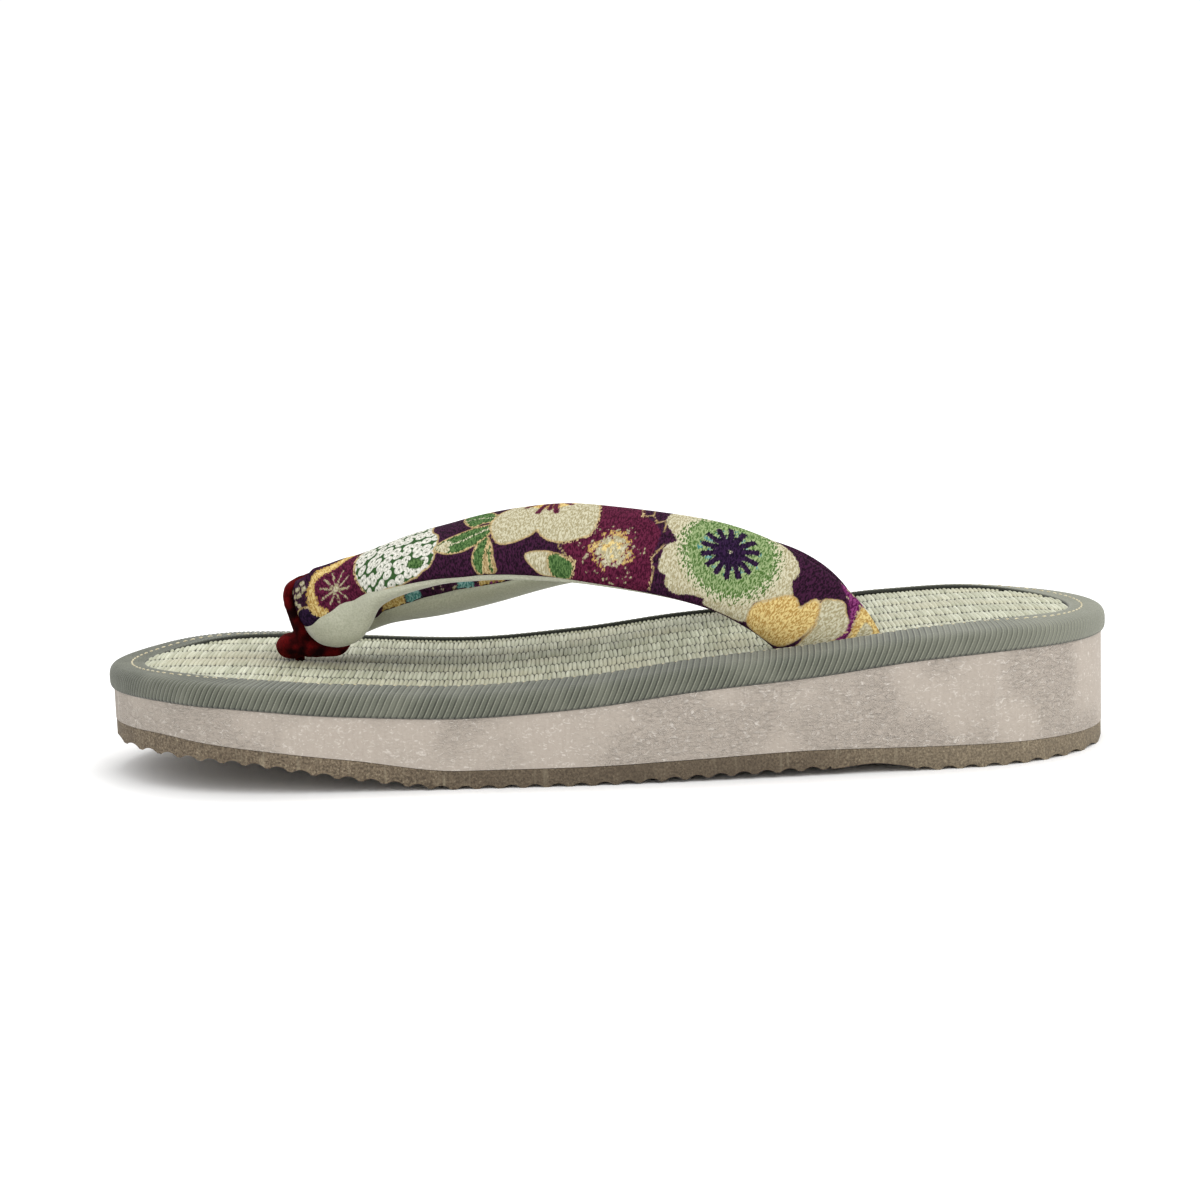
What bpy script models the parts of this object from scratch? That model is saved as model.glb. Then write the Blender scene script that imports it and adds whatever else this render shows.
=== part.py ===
"""A zori sandal standing on its sole: tread, wedge, woven footbed, edge braid, padded strap and toe loop.

Metres, +Z up. X runs from the toe tip (-) to the heel (+), -Y is the side that the photograph shows.
The origin is on the floor under the middle of the sole.
"""

import math

import bmesh
import bpy
from mathutils import Vector

# Whole sandal
LENGTH = 0.230
HALF_WIDTH = 0.0431
SOLE_HEIGHT = 0.0307  # floor to the top of the edge braid at the heel
GAP = 0.0003  # what is left free between two pieces
STATIONS = 56  # steps from toe to heel along an edge

# Edge braid
BRAID_HIGH = 0.0053
BRAID_WIDE = 0.0083  # seen from above
BRAID_WALL = 0.0026
BRAID_FLAP = 0.0017
BRAID_RADIUS = 0.0016
BRAID_LIP = 0.0008  # bevel at the braid's inner edge

# Woven footbed
MAT_BELOW_BRAID = 0.0010

# Wedge and tread
WEDGE_INSET = 0.0013
TREAD_INSET = 0.0015
RIPPLE_PITCH = 0.0050
RIPPLE_LAND = 0.0010
RIPPLE_DEPTH = 0.0008
RIPPLE_STEPS = 4
PLAIN_FROM, PLAIN_TO = 0.705, 0.785  # the arch has no ripples, shares of the length

# Strap
NOSE_SHARE = 0.2096  # where the strap turns round in the toe loop, share of the length
ARM_REACH = 0.1158  # from there to where an arm enters the footbed
ARM_SPREAD = 0.654 * HALF_WIDTH
ARM_RISE = 0.0294
STRAP_WIDE = 0.0200
STRAP_THICK = 0.0090
STRAP_SIDES = 20
STRAP_STEP = 0.0034
SLOT_SPARE = 0.0005
SLOT_DEEPER = 0.0010  # room below an arm's end

# Toe loop
LOOP_RADIUS = 0.0016
LOOP_SIDES = 12
LOOP_STEPS = 40
LUMP_LONG, LUMP_WIDE, LUMP_HIGH = 0.0080, 0.0092, 0.0064
POST_RADIUS = 0.0026
POST_DEPTH = 0.0085
HOLE_HEAD = 0.0040  # how far the cutter for the post's hole stands over the mat

# Plan of the edge: share of the length from the toe, times an ellipse of the same length and width
PLAN = (
    (0.00, 1.340),
    (0.02, 1.400),
    (0.05, 1.445),
    (0.09, 1.430),
    (0.14, 1.335),
    (0.20, 1.218),
    (0.30, 1.066),
    (0.40, 1.006),
    (0.50, 1.000),
    (0.60, 1.009),
    (0.70, 1.043),
    (0.80, 1.143),
    (0.90, 1.342),
    (0.95, 1.430),
    (1.00, 1.530),
)

# Side view: share of the length, then braid foot and wedge foot as shares of SOLE_HEIGHT
LAYERS = (
    (0.00, 0.626, 0.392),
    (0.06, 0.647, 0.409),
    (0.14, 0.620, 0.345),
    (0.25, 0.547, 0.240),
    (0.36, 0.507, 0.133),
    (0.47, 0.551, 0.136),
    (0.58, 0.644, 0.162),
    (0.69, 0.708, 0.187),
    (0.80, 0.795, 0.172),
    (0.90, 0.828, 0.160),
    (1.00, 0.822, 0.138),
)

# Side view of the tread's crests: share of the length, share of SOLE_HEIGHT.
# The two runs of 0 are the flat spots under the ball of the foot and the heel.
CRESTS = (
    (0.000, 0.277),
    (0.060, 0.267),
    (0.140, 0.227),
    (0.250, 0.100),
    (0.290, 0.055),
    (0.330, 0.014),
    (0.355, 0.000),
    (0.475, 0.000),
    (0.540, 0.015),
    (0.600, 0.031),
    (0.660, 0.041),
    (0.705, 0.048),
    (0.745, 0.073),
    (0.775, 0.045),
    (0.800, 0.000),
    (1.000, 0.000),
)

# Braid section: inset from the outer edge, height over its foot, both from the sizes above
BRAID_SECTION = (
    (0.5 * BRAID_RADIUS, GAP / 2),
    (0.0, BRAID_RADIUS),
    (0.0, BRAID_HIGH - BRAID_RADIUS),
    (0.3 * BRAID_RADIUS, BRAID_HIGH - 0.35 * BRAID_RADIUS),
    (BRAID_RADIUS, BRAID_HIGH),
    (BRAID_WIDE - BRAID_LIP, BRAID_HIGH),
    (BRAID_WIDE, BRAID_HIGH - 0.6 * BRAID_LIP),
    (BRAID_WIDE, BRAID_HIGH - BRAID_FLAP),
    (BRAID_WALL, BRAID_HIGH - BRAID_FLAP),
    (BRAID_WALL, GAP / 2),
)

# Arm columns: along, out, up, wide and thick as shares of the arm's sizes, and tilt in degrees:
# how far the wide side of the section leans from level, outer edge down
NEAR_ARM = (
    (0.000, 0.000, 0.370, 0.56, 0.70, 90),
    (0.013, 0.148, 0.405, 0.70, 0.70, 88),
    (0.046, 0.207, 0.500, 0.96, 0.72, 82),
    (0.080, 0.220, 0.590, 0.93, 0.82, 66),
    (0.110, 0.235, 0.670, 0.90, 0.91, 44),
    (0.170, 0.300, 0.810, 0.95, 0.98, 27),
    (0.250, 0.375, 0.920, 1.00, 1.00, 25),
    (0.330, 0.455, 0.980, 1.00, 1.00, 32),
    (0.410, 0.530, 1.000, 1.00, 1.00, 39),
    (0.490, 0.605, 0.985, 1.00, 1.00, 46),
    (0.580, 0.695, 0.920, 1.00, 1.00, 49),
    (0.670, 0.780, 0.820, 1.00, 1.00, 52),
    (0.760, 0.850, 0.690, 1.00, 1.00, 57),
    (0.830, 0.905, 0.570, 1.00, 1.00, 63),
    (0.895, 0.940, 0.440, 1.03, 1.00, 71),
    (0.950, 0.962, 0.300, 1.08, 0.98, 79),
    (0.995, 0.970, 0.130, 1.12, 0.95, 85),
    (1.020, 0.970, -0.050, 1.12, 0.94, 88),
    (1.038, 0.970, -0.270, 1.12, 0.94, 88),
)
FAR_ARM = (
    (0.000, 0.000, 0.370, 0.56, 0.70, 90),
    (0.013, 0.148, 0.385, 0.66, 0.70, 90),
    (0.046, 0.207, 0.400, 0.74, 0.72, 82),
    (0.085, 0.225, 0.405, 0.80, 0.82, 48),
    (0.145, 0.262, 0.476, 0.90, 0.93, 16),
    (0.190, 0.305, 0.517, 0.95, 0.98, 12),
    (0.240, 0.355, 0.560, 1.00, 1.00, 12),
    (0.335, 0.447, 0.633, 1.00, 1.00, 13),
    (0.440, 0.550, 0.700, 1.00, 1.00, 18),
    (0.535, 0.640, 0.725, 1.00, 1.00, 26),
    (0.630, 0.730, 0.710, 1.00, 1.00, 35),
    (0.715, 0.810, 0.656, 1.00, 1.00, 44),
    (0.790, 0.870, 0.580, 1.00, 1.00, 52),
    (0.865, 0.925, 0.455, 1.02, 1.00, 62),
    (0.925, 0.953, 0.325, 1.04, 0.98, 71),
    (0.965, 0.966, 0.215, 1.06, 0.96, 79),
    (0.998, 0.970, 0.100, 1.08, 0.95, 85),
    (1.020, 0.970, -0.050, 1.08, 0.94, 88),
    (1.038, 0.970, -0.270, 1.08, 0.94, 88),
)
SLOT_FROM = 0.42  # an arm's slot is cut from this height down, share of ARM_RISE

# Toe loop's centre line: along and up from the nose, shares of ARM_RISE, then its thickness in that
# plane and its width across it, shares of LOOP_RADIUS. It is a broad band in front, slim behind.
LOOP = (
    (-0.185, 0.140, 1.10, 1.90),
    (-0.196, 0.270, 1.05, 1.95),
    (-0.192, 0.440, 1.05, 1.85),
    (-0.160, 0.570, 1.00, 1.50),
    (-0.085, 0.645, 0.98, 1.15),
    (0.010, 0.660, 0.94, 0.98),
    (0.105, 0.630, 0.88, 0.90),
    (0.172, 0.535, 0.84, 0.84),
    (0.186, 0.380, 0.86, 0.86),
    (0.200, 0.250, 0.90, 0.95),
    (0.196, 0.155, 0.95, 1.30),
    (0.140, 0.113, 0.95, 1.60),
    (0.030, 0.110, 0.95, 1.80),
    (-0.090, 0.110, 1.00, 1.90),
)
LUMP_AT = (-0.205, 0.126)  # along and up from the nose, shares of ARM_RISE
POST_AT = -0.160

# Finishes: colour, roughness, metallic
FINISHES = {
    "outsole": ((0.195, 0.140, 0.092), 0.85, 0.0),
    "midsole": ((0.590, 0.510, 0.450), 0.80, 0.0),
    "footbed": ((0.440, 0.470, 0.330), 0.75, 0.0),
    "binding": ((0.215, 0.245, 0.185), 0.70, 0.0),
    "strap": ((0.095, 0.020, 0.065), 0.90, 0.0),
    "toe_loop": ((0.120, 0.008, 0.012), 0.95, 0.0),
}


def slopes_of(keys, values):
    """Slopes that keep a curve through the values from swinging past them."""
    steps = [b - a for a, b in zip(keys, keys[1:])]
    rises = [(b - a) / step for a, b, step in zip(values, values[1:], steps)]
    slopes = [rises[0]]
    for left, right in zip(rises, rises[1:]):
        if left * right <= 0:
            slopes.append(0.0)
        else:
            slopes.append(2 * left * right / (left + right))
    slopes.append(rises[-1])
    return slopes


def between(keys, values, key):
    """Value at the key on a smooth curve through the table."""
    slopes = slopes_of(keys, values)
    key = min(max(key, keys[0]), keys[-1])
    i = max(0, min(len(keys) - 2, sum(1 for k in keys if k <= key) - 1))
    step = keys[i + 1] - keys[i]
    u = (key - keys[i]) / step
    value = (2 * u**3 - 3 * u**2 + 1) * values[i]
    value += (u**3 - 2 * u**2 + u) * step * slopes[i]
    value += (3 * u**2 - 2 * u**3) * values[i + 1]
    value += (u**3 - u**2) * step * slopes[i + 1]
    return value


def column(table, number, key):
    return between([row[0] for row in table], [row[number] for row in table], key)


def share_of(x):
    return min(max(x / LENGTH + 0.5, 0.0), 1.0)


def braid_foot(x):
    return SOLE_HEIGHT * column(LAYERS, 1, share_of(x))


def wedge_foot(x):
    return SOLE_HEIGHT * column(LAYERS, 2, share_of(x))


def mat_top(x):
    return braid_foot(x) + BRAID_HIGH - MAT_BELOW_BRAID


def crest(x):
    return SOLE_HEIGHT * column(CRESTS, 1, share_of(x))


def edge_point(angle):
    """Point of the outer edge on the far side: angle 0 is the toe tip and pi the heel."""
    share = (1 - math.cos(angle)) / 2
    return -LENGTH / 2 * math.cos(angle), HALF_WIDTH * column(PLAN, 1, share) * math.sin(angle)


def edge(inset, steps=STATIONS):
    """Stations (x, half width) of the edge moved inwards, from the toe tip to the heel."""
    small = 1e-4
    stations = []
    for i in range(steps + 1):
        angle = math.pi * i / steps
        x, y = edge_point(angle)
        before, after = edge_point(angle - small), edge_point(angle + small)
        along = Vector((after[0] - before[0], after[1] - before[1])).normalized()
        stations.append([x + inset * along.y, y - inset * along.x])
    stations[0][1] = stations[-1][1] = 0.0
    return stations


def ring_of(stations, height):
    """Points round the edge, far side from toe to heel and back along the near side."""
    far = [(x, y, height(x)) for x, y in stations]
    near = [(x, -y, height(x)) for x, y in stations[-2:0:-1]]
    return far + near


def mesh_object(name, points, faces, collection):
    mesh = bpy.data.meshes.new(name)
    mesh.from_pydata(points, [], faces)
    body = bmesh.new()
    body.from_mesh(mesh)
    bmesh.ops.recalc_face_normals(body, faces=body.faces)
    body.to_mesh(mesh)
    body.free()
    thing = bpy.data.objects.new(name, mesh)
    collection.objects.link(thing)
    return thing


def add_finish(thing):
    colour, roughness, metallic = FINISHES[thing.name]
    material = bpy.data.materials.new(thing.name)
    material.use_nodes = True
    shader = material.node_tree.nodes["Principled BSDF"]
    shader.inputs["Base Color"].default_value = (*colour, 1.0)
    shader.inputs["Roughness"].default_value = roughness
    shader.inputs["Metallic"].default_value = metallic
    thing.data.materials.append(material)
    return thing


def cap_faces(count, start):
    """Faces across a ring of 2 * (count - 1) points, between the stations of its two sides."""
    total = 2 * (count - 1)
    faces = []
    for i in range(count - 1):
        right = [start + i, start + i + 1]
        left = [start + (total - i) % total, start + total - i - 1]
        corners = [right[0], right[1], left[1], left[0]]
        faces.append(tuple(dict.fromkeys(corners)))
    return faces


def stack(name, rings, count, collection):
    """A body from rings, bottom to top, closed across its first and last ring."""
    total = len(rings[0])
    points = [point for ring in rings for point in ring]
    faces = []
    for level in range(len(rings) - 1):
        for i in range(total):
            j = (i + 1) % total
            low, high = level * total, (level + 1) * total
            faces.append((low + i, low + j, high + j, high + i))
    faces += cap_faces(count, 0)
    faces += cap_faces(count, (len(rings) - 1) * total)
    return mesh_object(name, points, faces, collection)


def layered(name, section, foot, collection):
    """A body whose rim follows the section: (inset, height over the foot) from bottom to top."""
    rings = []
    for inset, up in section:
        rings.append(ring_of(edge(inset), lambda x, up=up: foot(x) + up))
    return stack(name, rings, STATIONS + 1, collection)


def hoop(name, section, foot, collection):
    """A closed band round the edge with this section."""
    rings = [ring_of(edge(inset), lambda x, up=up: foot(x) + up) for inset, up in section]
    total = len(rings[0])
    points = [point for ring in rings for point in ring]
    faces = []
    for level in range(len(rings)):
        low, high = level * total, (level + 1) % len(rings) * total
        for i in range(total):
            j = (i + 1) % total
            faces.append((low + i, low + j, high + j, high + i))
    return mesh_object(name, points, faces, collection)


def ripple_depth(x):
    """Depth of the tread's groove at x: none on a land, at the arch and at the tips."""
    share = share_of(x)
    if PLAIN_FROM < share < PLAIN_TO:
        return 0.0
    place = (x + LENGTH / 2) % RIPPLE_PITCH - RIPPLE_LAND
    groove = RIPPLE_PITCH - RIPPLE_LAND
    if place <= 0:
        return 0.0
    return RIPPLE_DEPTH * (1 - (2 * place / groove - 1) ** 2)


def tread_places():
    """The x of each station of the tread: both ends of each land, steps of each groove, and the tips."""
    groove = RIPPLE_PITCH - RIPPLE_LAND
    places = []
    for i in range(int(LENGTH / RIPPLE_PITCH)):
        start = -LENGTH / 2 + i * RIPPLE_PITCH
        places.append(start)
        for step in range(RIPPLE_STEPS):
            places.append(start + RIPPLE_LAND + groove * step / RIPPLE_STEPS)
    for back in (0.0002, 0.0006, 0.0013):
        places += [-LENGTH / 2 + TREAD_INSET + back, LENGTH / 2 - TREAD_INSET - back]
    tip = LENGTH / 2 - TREAD_INSET
    inside = sorted(x for x in places if abs(x) < tip - 1e-4)
    kept = [-tip]
    for x in inside + [tip]:
        if x - kept[-1] > 1e-4:
            kept.append(x)
    return kept


def half_width_at(x, stations):
    for (x0, y0), (x1, y1) in zip(stations, stations[1:]):
        if x0 <= x <= x1:
            return y0 + (y1 - y0) * (x - x0) / (x1 - x0)
    return 0.0


def build_outsole(collection):
    """Foam tread: flat top under the wedge, rippled underside, toe spring and arch."""
    fine = edge(TREAD_INSET, 480)
    places = tread_places()
    stations = [[x, half_width_at(x, fine)] for x in places]
    stations[0][1] = stations[-1][1] = 0.0
    low = ring_of(stations, lambda x: crest(x) + ripple_depth(x))
    high = ring_of(stations, lambda x: wedge_foot(x) - GAP / 2)
    return add_finish(stack("outsole", [low, high], len(stations), collection))


def build_midsole(collection):
    """Foam wedge between the tread and the footbed, with pockets for the strap and the post."""
    low = ring_of(edge(WEDGE_INSET), lambda x: wedge_foot(x) + GAP / 2)
    high = ring_of(edge(WEDGE_INSET), lambda x: braid_foot(x) - GAP / 2)
    return add_finish(stack("midsole", [low, high], STATIONS + 1, collection))


def build_footbed(collection):
    """Woven mat, its rim tucked under the braid's flap."""
    rim = BRAID_WALL + GAP
    face = BRAID_WIDE + GAP
    top = BRAID_HIGH - MAT_BELOW_BRAID
    under = BRAID_HIGH - BRAID_FLAP - GAP
    section = ((rim, GAP / 2), (rim, under), (face, under), (face, top))
    return add_finish(layered("footbed", section, braid_foot, collection))


def build_binding(collection):
    """Braid round the edge: a wall beside the mat and a flap over its rim."""
    return add_finish(hoop("binding", BRAID_SECTION, braid_foot, collection))


def arm_rows(table, side):
    """Table rows as metres: place, width, thickness and tilt."""
    rows = []
    for along, out, up, wide, thick, tilt in table:
        x = (NOSE_SHARE - 0.5) * LENGTH + along * ARM_REACH
        place = Vector((x, side * out * ARM_SPREAD, mat_top(x) + up * ARM_RISE))
        rows.append((place, wide * STRAP_WIDE, thick * STRAP_THICK, math.radians(tilt)))
    return rows


def path_curve(rows, steps_of):
    """Rows sampled along a smooth curve through their places."""
    keys = [0.0]
    for a, b in zip(rows, rows[1:]):
        keys.append(keys[-1] + (b[0] - a[0]).length)
    samples = []
    for i, (a, b) in enumerate(zip(rows, rows[1:])):
        steps = steps_of(a[0], b[0])
        for step in range(steps):
            samples.append(keys[i] + (keys[i + 1] - keys[i]) * step / steps)
    samples.append(keys[-1])
    axes = [[row[0][axis] for row in rows] for axis in range(3)]
    others = [[row[k] for row in rows] for k in range(1, len(rows[0]))]
    out = []
    for key in samples:
        place = Vector([between(keys, axis, key) for axis in axes])
        out.append((place, *[between(keys, values, key) for values in others]))
    return out


def smooth_places(stations, rounds):
    """Eases the kinks that are left in a path; its ends stay."""
    places = [station[0].copy() for station in stations]
    for _ in range(rounds):
        eased = [p.copy() for p in places]
        for i in range(1, len(places) - 1):
            eased[i] = places[i] * 0.5 + (places[i - 1] + places[i + 1]) * 0.25
        places = eased
    return [(place, *station[1:]) for place, station in zip(places, stations)]


def sweep(name, stations, sides, grow, collection):
    """A padded band along the stations: an elliptical section, its wide side tilted."""
    rings = []
    last = len(stations) - 1
    for i, (place, wide, thick, tilt) in enumerate(stations):
        ahead = (stations[min(i + 1, last)][0] - stations[max(i - 1, 0)][0]).normalized()
        out = Vector((-ahead.y, ahead.x, 0)).normalized()
        up = ahead.cross(out).normalized()
        long_axis = out * math.cos(tilt) - up * math.sin(tilt)
        short_axis = out * math.sin(tilt) + up * math.cos(tilt)
        ring = []
        for k in range(sides):
            turn = 2 * math.pi * k / sides
            reach = (wide / 2 + grow) * math.cos(turn)
            swell = (thick / 2 + grow) * math.sin(turn)
            ring.append(place + long_axis * reach + short_axis * swell)
        rings.append(ring)
    points = [tuple(point) for ring in rings for point in ring]
    faces = []
    for i in range(last):
        for k in range(sides):
            j = (k + 1) % sides
            faces.append((i * sides + k, i * sides + j, (i + 1) * sides + j, (i + 1) * sides + k))
    faces.append(tuple(range(sides)))
    faces.append(tuple(last * sides + k for k in range(sides)))
    return mesh_object(name, points, faces, collection)


def strap_stations():
    """Both arms as one path: in from the near anchor, round the nose and out to the far one."""
    near = arm_rows(NEAR_ARM, -1)
    far = arm_rows(FAR_ARM, 1)

    def steps_of(a, b):
        nose = min(abs(a.y), abs(b.y)) < 0.2 * ARM_SPREAD
        return max(1, round((b - a).length / (0.4 * STRAP_STEP if nose else STRAP_STEP)))

    return smooth_places(path_curve(near[::-1] + far[1:], steps_of), 2)


def build_strap(collection):
    """The upper: one padded band, both arms joined at the toe."""
    return add_finish(sweep("strap", strap_stations(), STRAP_SIDES, 0.0, collection))


def slot_cutter(side, collection):
    """The end of an arm, a little larger, for its slot in the mat and pocket in the wedge."""
    stations = [s for s in strap_stations() if s[0].y * side > 0.5 * ARM_SPREAD]
    stations = [s for s in stations if s[0].z - mat_top(s[0].x) < SLOT_FROM * ARM_RISE]
    ends = stations[::-1] if side < 0 else stations
    more = (ends[-1][0] - ends[-2][0]).normalized() * SLOT_DEEPER
    ends.append((ends[-1][0] + more, *ends[-1][1:]))
    ordered = ends[::-1] if side < 0 else ends
    return sweep(f"slot_{'near' if side < 0 else 'far'}", ordered, STRAP_SIDES, SLOT_SPARE, collection)


def nose_x():
    return (NOSE_SHARE - 0.5) * LENGTH


def loop_stations():
    """The toe loop's closed centre line in the plane y = 0."""
    base = mat_top(nose_x())
    rows = []
    for along, up, thick, broad in LOOP + LOOP[:3]:
        place = Vector((nose_x() + along * ARM_RISE, 0.0, base + up * ARM_RISE))
        rows.append((place, Vector((thick, broad)) * LOOP_RADIUS))
    return rows


def build_ring(collection):
    """Band of the toe loop, closed on itself."""
    rows = loop_stations()
    count = len(LOOP)
    per_row = max(2, round(LOOP_STEPS / count))
    places, radii = [], []
    for i in range(count):
        (p0, r0), (p1, r1), (p2, r2) = rows[i - 1 if i else count - 1], rows[i], rows[i + 1]
        p3 = rows[i + 2][0]
        for step in range(per_row):
            u = step / per_row
            place = p1 * 2 + (p2 - p0) * u + (p0 * 2 - p1 * 5 + p2 * 4 - p3) * u**2
            places.append((place + (p1 * 3 - p0 - p2 * 3 + p3) * u**3) / 2)
            radii.append(r1 + (r2 - r1) * u)
    total = len(places)
    points, faces = [], []
    for i in range(total):
        ahead = (places[(i + 1) % total] - places[i - 1]).normalized()
        across = Vector((0, 1, 0))
        out = ahead.cross(across)
        for k in range(LOOP_SIDES):
            turn = 2 * math.pi * k / LOOP_SIDES
            thick, broad = radii[i]
            rim = across * math.cos(turn) * broad + out * math.sin(turn) * thick
            points.append(tuple(places[i] + rim))
    for i in range(total):
        low, high = i * LOOP_SIDES, (i + 1) % total * LOOP_SIDES
        for k in range(LOOP_SIDES):
            j = (k + 1) % LOOP_SIDES
            faces.append((low + k, low + j, high + j, high + k))
    return mesh_object("toe_loop", points, faces, collection)


def ball(name, centre, size, collection):
    body = bmesh.new()
    bmesh.ops.create_uvsphere(body, u_segments=16, v_segments=10, radius=0.5)
    for vert in body.verts:
        vert.co = Vector([c + v * s for c, v, s in zip(centre, vert.co, size)])
    mesh = bpy.data.meshes.new(name)
    body.to_mesh(mesh)
    body.free()
    thing = bpy.data.objects.new(name, mesh)
    collection.objects.link(thing)
    return thing


def drum(name, centre, radius, depth, collection):
    body = bmesh.new()
    bmesh.ops.create_cone(
        body, cap_ends=True, segments=20, radius1=radius, radius2=radius, depth=depth
    )
    for vert in body.verts:
        vert.co += Vector(centre)
    mesh = bpy.data.meshes.new(name)
    body.to_mesh(mesh)
    body.free()
    thing = bpy.data.objects.new(name, mesh)
    collection.objects.link(thing)
    return thing


def combine(thing, other, operation):
    step = thing.modifiers.new(other.name, "BOOLEAN")
    step.operation = operation
    step.solver = "EXACT"
    step.object = other


def post_body(name, radius, above, below, collection):
    """The loop's post, or the hole for it, from above the mat to below it."""
    x = nose_x() + POST_AT * ARM_RISE
    base = mat_top(x)
    centre = (x, 0.0, base + (above - below) / 2)
    return drum(name, centre, radius, above + below, collection)


def build_toe_loop(collection, helpers):
    """Velvet loop round the strap's nose, its lump on the mat and its post down into the wedge."""
    ring = build_ring(collection)
    base = mat_top(nose_x())
    centre = (nose_x() + LUMP_AT[0] * ARM_RISE, 0.0, base + LUMP_AT[1] * ARM_RISE)
    lump = ball("lump", centre, (LUMP_LONG, LUMP_WIDE, LUMP_HIGH), helpers)
    post = post_body("post", POST_RADIUS, LUMP_HIGH / 2, POST_DEPTH, helpers)
    combine(ring, lump, "UNION")
    combine(ring, post, "UNION")
    return add_finish(ring)


def cut_openings(footbed, midsole, helpers):
    """Slots for the arms and the hole for the post, through the mat and into the wedge."""
    cutters = [slot_cutter(-1, helpers), slot_cutter(1, helpers)]
    cutters.append(post_body("post_hole", POST_RADIUS + GAP, HOLE_HEAD, POST_DEPTH + GAP, helpers))
    for cutter in cutters:
        combine(footbed, cutter, "DIFFERENCE")
        combine(midsole, cutter, "DIFFERENCE")


def new_collection(name):
    collection = bpy.data.collections.new(name)
    bpy.context.scene.collection.children.link(collection)
    return collection


def main():
    for thing in list(bpy.data.objects):
        bpy.data.objects.remove(thing, do_unlink=True)
    bpy.context.scene.unit_settings.system = "METRIC"
    bpy.context.scene.unit_settings.scale_length = 1.0
    sandal = new_collection("zori_sandal")
    helpers = new_collection("cutters")
    build_outsole(sandal)
    midsole = build_midsole(sandal)
    footbed = build_footbed(sandal)
    build_binding(sandal)
    build_strap(sandal)
    build_toe_loop(sandal, helpers)
    cut_openings(footbed, midsole, helpers)
    for helper in helpers.objects:
        helper.hide_render = True
        helper.display_type = "WIRE"


main()
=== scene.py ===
"""Zori sandal, dressed: foam tread and wedge, woven rush mat, ribbed edge braid, crepe strap, velvet toe loop.

Metres, in the frame of the CAD model: X runs from the toe tip (-) to the heel (+), -Y is the near side and
+Z is up. Every piece is built at its place, so its object stays at the origin.
"""

import logging
import math
from collections.abc import Callable, Sequence
from dataclasses import dataclass, field
from enum import Enum

import bpy
import numpy as np
from mathutils import Matrix, Vector, noise


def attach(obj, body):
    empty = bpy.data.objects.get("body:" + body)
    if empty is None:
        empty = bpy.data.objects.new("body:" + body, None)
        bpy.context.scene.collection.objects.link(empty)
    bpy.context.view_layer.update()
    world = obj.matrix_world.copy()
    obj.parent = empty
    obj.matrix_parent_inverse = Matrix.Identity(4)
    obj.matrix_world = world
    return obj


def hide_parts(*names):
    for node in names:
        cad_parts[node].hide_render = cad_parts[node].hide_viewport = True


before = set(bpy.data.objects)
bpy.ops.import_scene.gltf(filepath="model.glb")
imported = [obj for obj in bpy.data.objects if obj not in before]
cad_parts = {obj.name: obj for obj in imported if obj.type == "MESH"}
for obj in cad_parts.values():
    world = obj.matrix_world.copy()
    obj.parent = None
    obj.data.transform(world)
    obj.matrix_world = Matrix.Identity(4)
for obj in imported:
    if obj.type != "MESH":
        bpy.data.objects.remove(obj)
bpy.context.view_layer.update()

Piece = bpy.types.Object
Material = bpy.types.Material
Tree = bpy.types.NodeTree
Socket = bpy.types.NodeSocket
Array = np.ndarray
LOG = logging.getLogger("zori_sandal")
SEED = 7
GLUE_GAP = 0.00005


class Side(Enum):
    """The two arms of the strap, by the sign of their Y."""

    NEAR = -1
    FAR = 1


class Ink(Enum):
    """Dyes of the crepe print in their order of printing, named as the attribute that carries their outline."""

    GOLD = "ink_gold"
    MAROON = "ink_maroon"
    MAGENTA = "ink_magenta"
    OCHRE = "ink_ochre"
    CREAM = "ink_cream"
    MOTTLE = "ink_mottle"
    CELLS = "ink_cells"
    TEAL = "ink_teal"
    GREEN = "ink_green"
    NIGHT = "ink_night"


# ---- modelling ----


def select_only(thing: Piece) -> None:
    """Selects one piece, with nothing else, and makes it active.

    Args:
        thing: The piece.
    """
    bpy.ops.object.select_all(action="DESELECT")
    thing.select_set(True)
    bpy.context.view_layer.objects.active = thing


def name_piece(thing: Piece, name: str) -> Piece:
    """Gives a new piece and its mesh their name."""
    thing.name = thing.data.name = name
    return thing


def add_cloth(name: str, along: int, across: int) -> Piece:
    """Adds a flat square cloth, to be wrapped or stretched into place.

    Args:
        name: The piece's name.
        along: Squares along X.
        across: Squares along Y.

    Returns:
        The cloth, one metre a side, centred on the origin.
    """
    bpy.ops.object.select_all(action="DESELECT")
    bpy.ops.mesh.primitive_grid_add(x_subdivisions=along, y_subdivisions=across, size=1.0, calc_uvs=True)
    return name_piece(bpy.context.object, name)


def points_of(thing: Piece) -> Array:
    """Reads a piece's points as rows of x, y, z.

    Args:
        thing: The piece.

    Returns:
        The points, as rows of x, y, z.
    """
    flat = np.empty(len(thing.data.vertices) * 3)
    thing.data.vertices.foreach_get("co", flat)
    return flat.reshape(-1, 3)


def squares_of(thing: Piece, along: int, across: int) -> tuple[Array, Array]:
    """Finds each point's place on a flat cloth.

    Args:
        thing: A piece made by add_cloth and not yet moved.
        along: Its squares along X.
        across: Its squares along Y.

    Returns:
        The number of each point's row and of its column.
    """
    shares = points_of(thing) + 0.5
    return np.rint(shares[:, 0] * along).astype(int), np.rint(shares[:, 1] * across).astype(int)


def move_points(thing: Piece, points: Array) -> None:
    """Moves a piece's points to new places."""
    thing.data.vertices.foreach_set("co", np.ascontiguousarray(points, dtype=np.float32).reshape(-1))
    thing.data.update()


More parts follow.
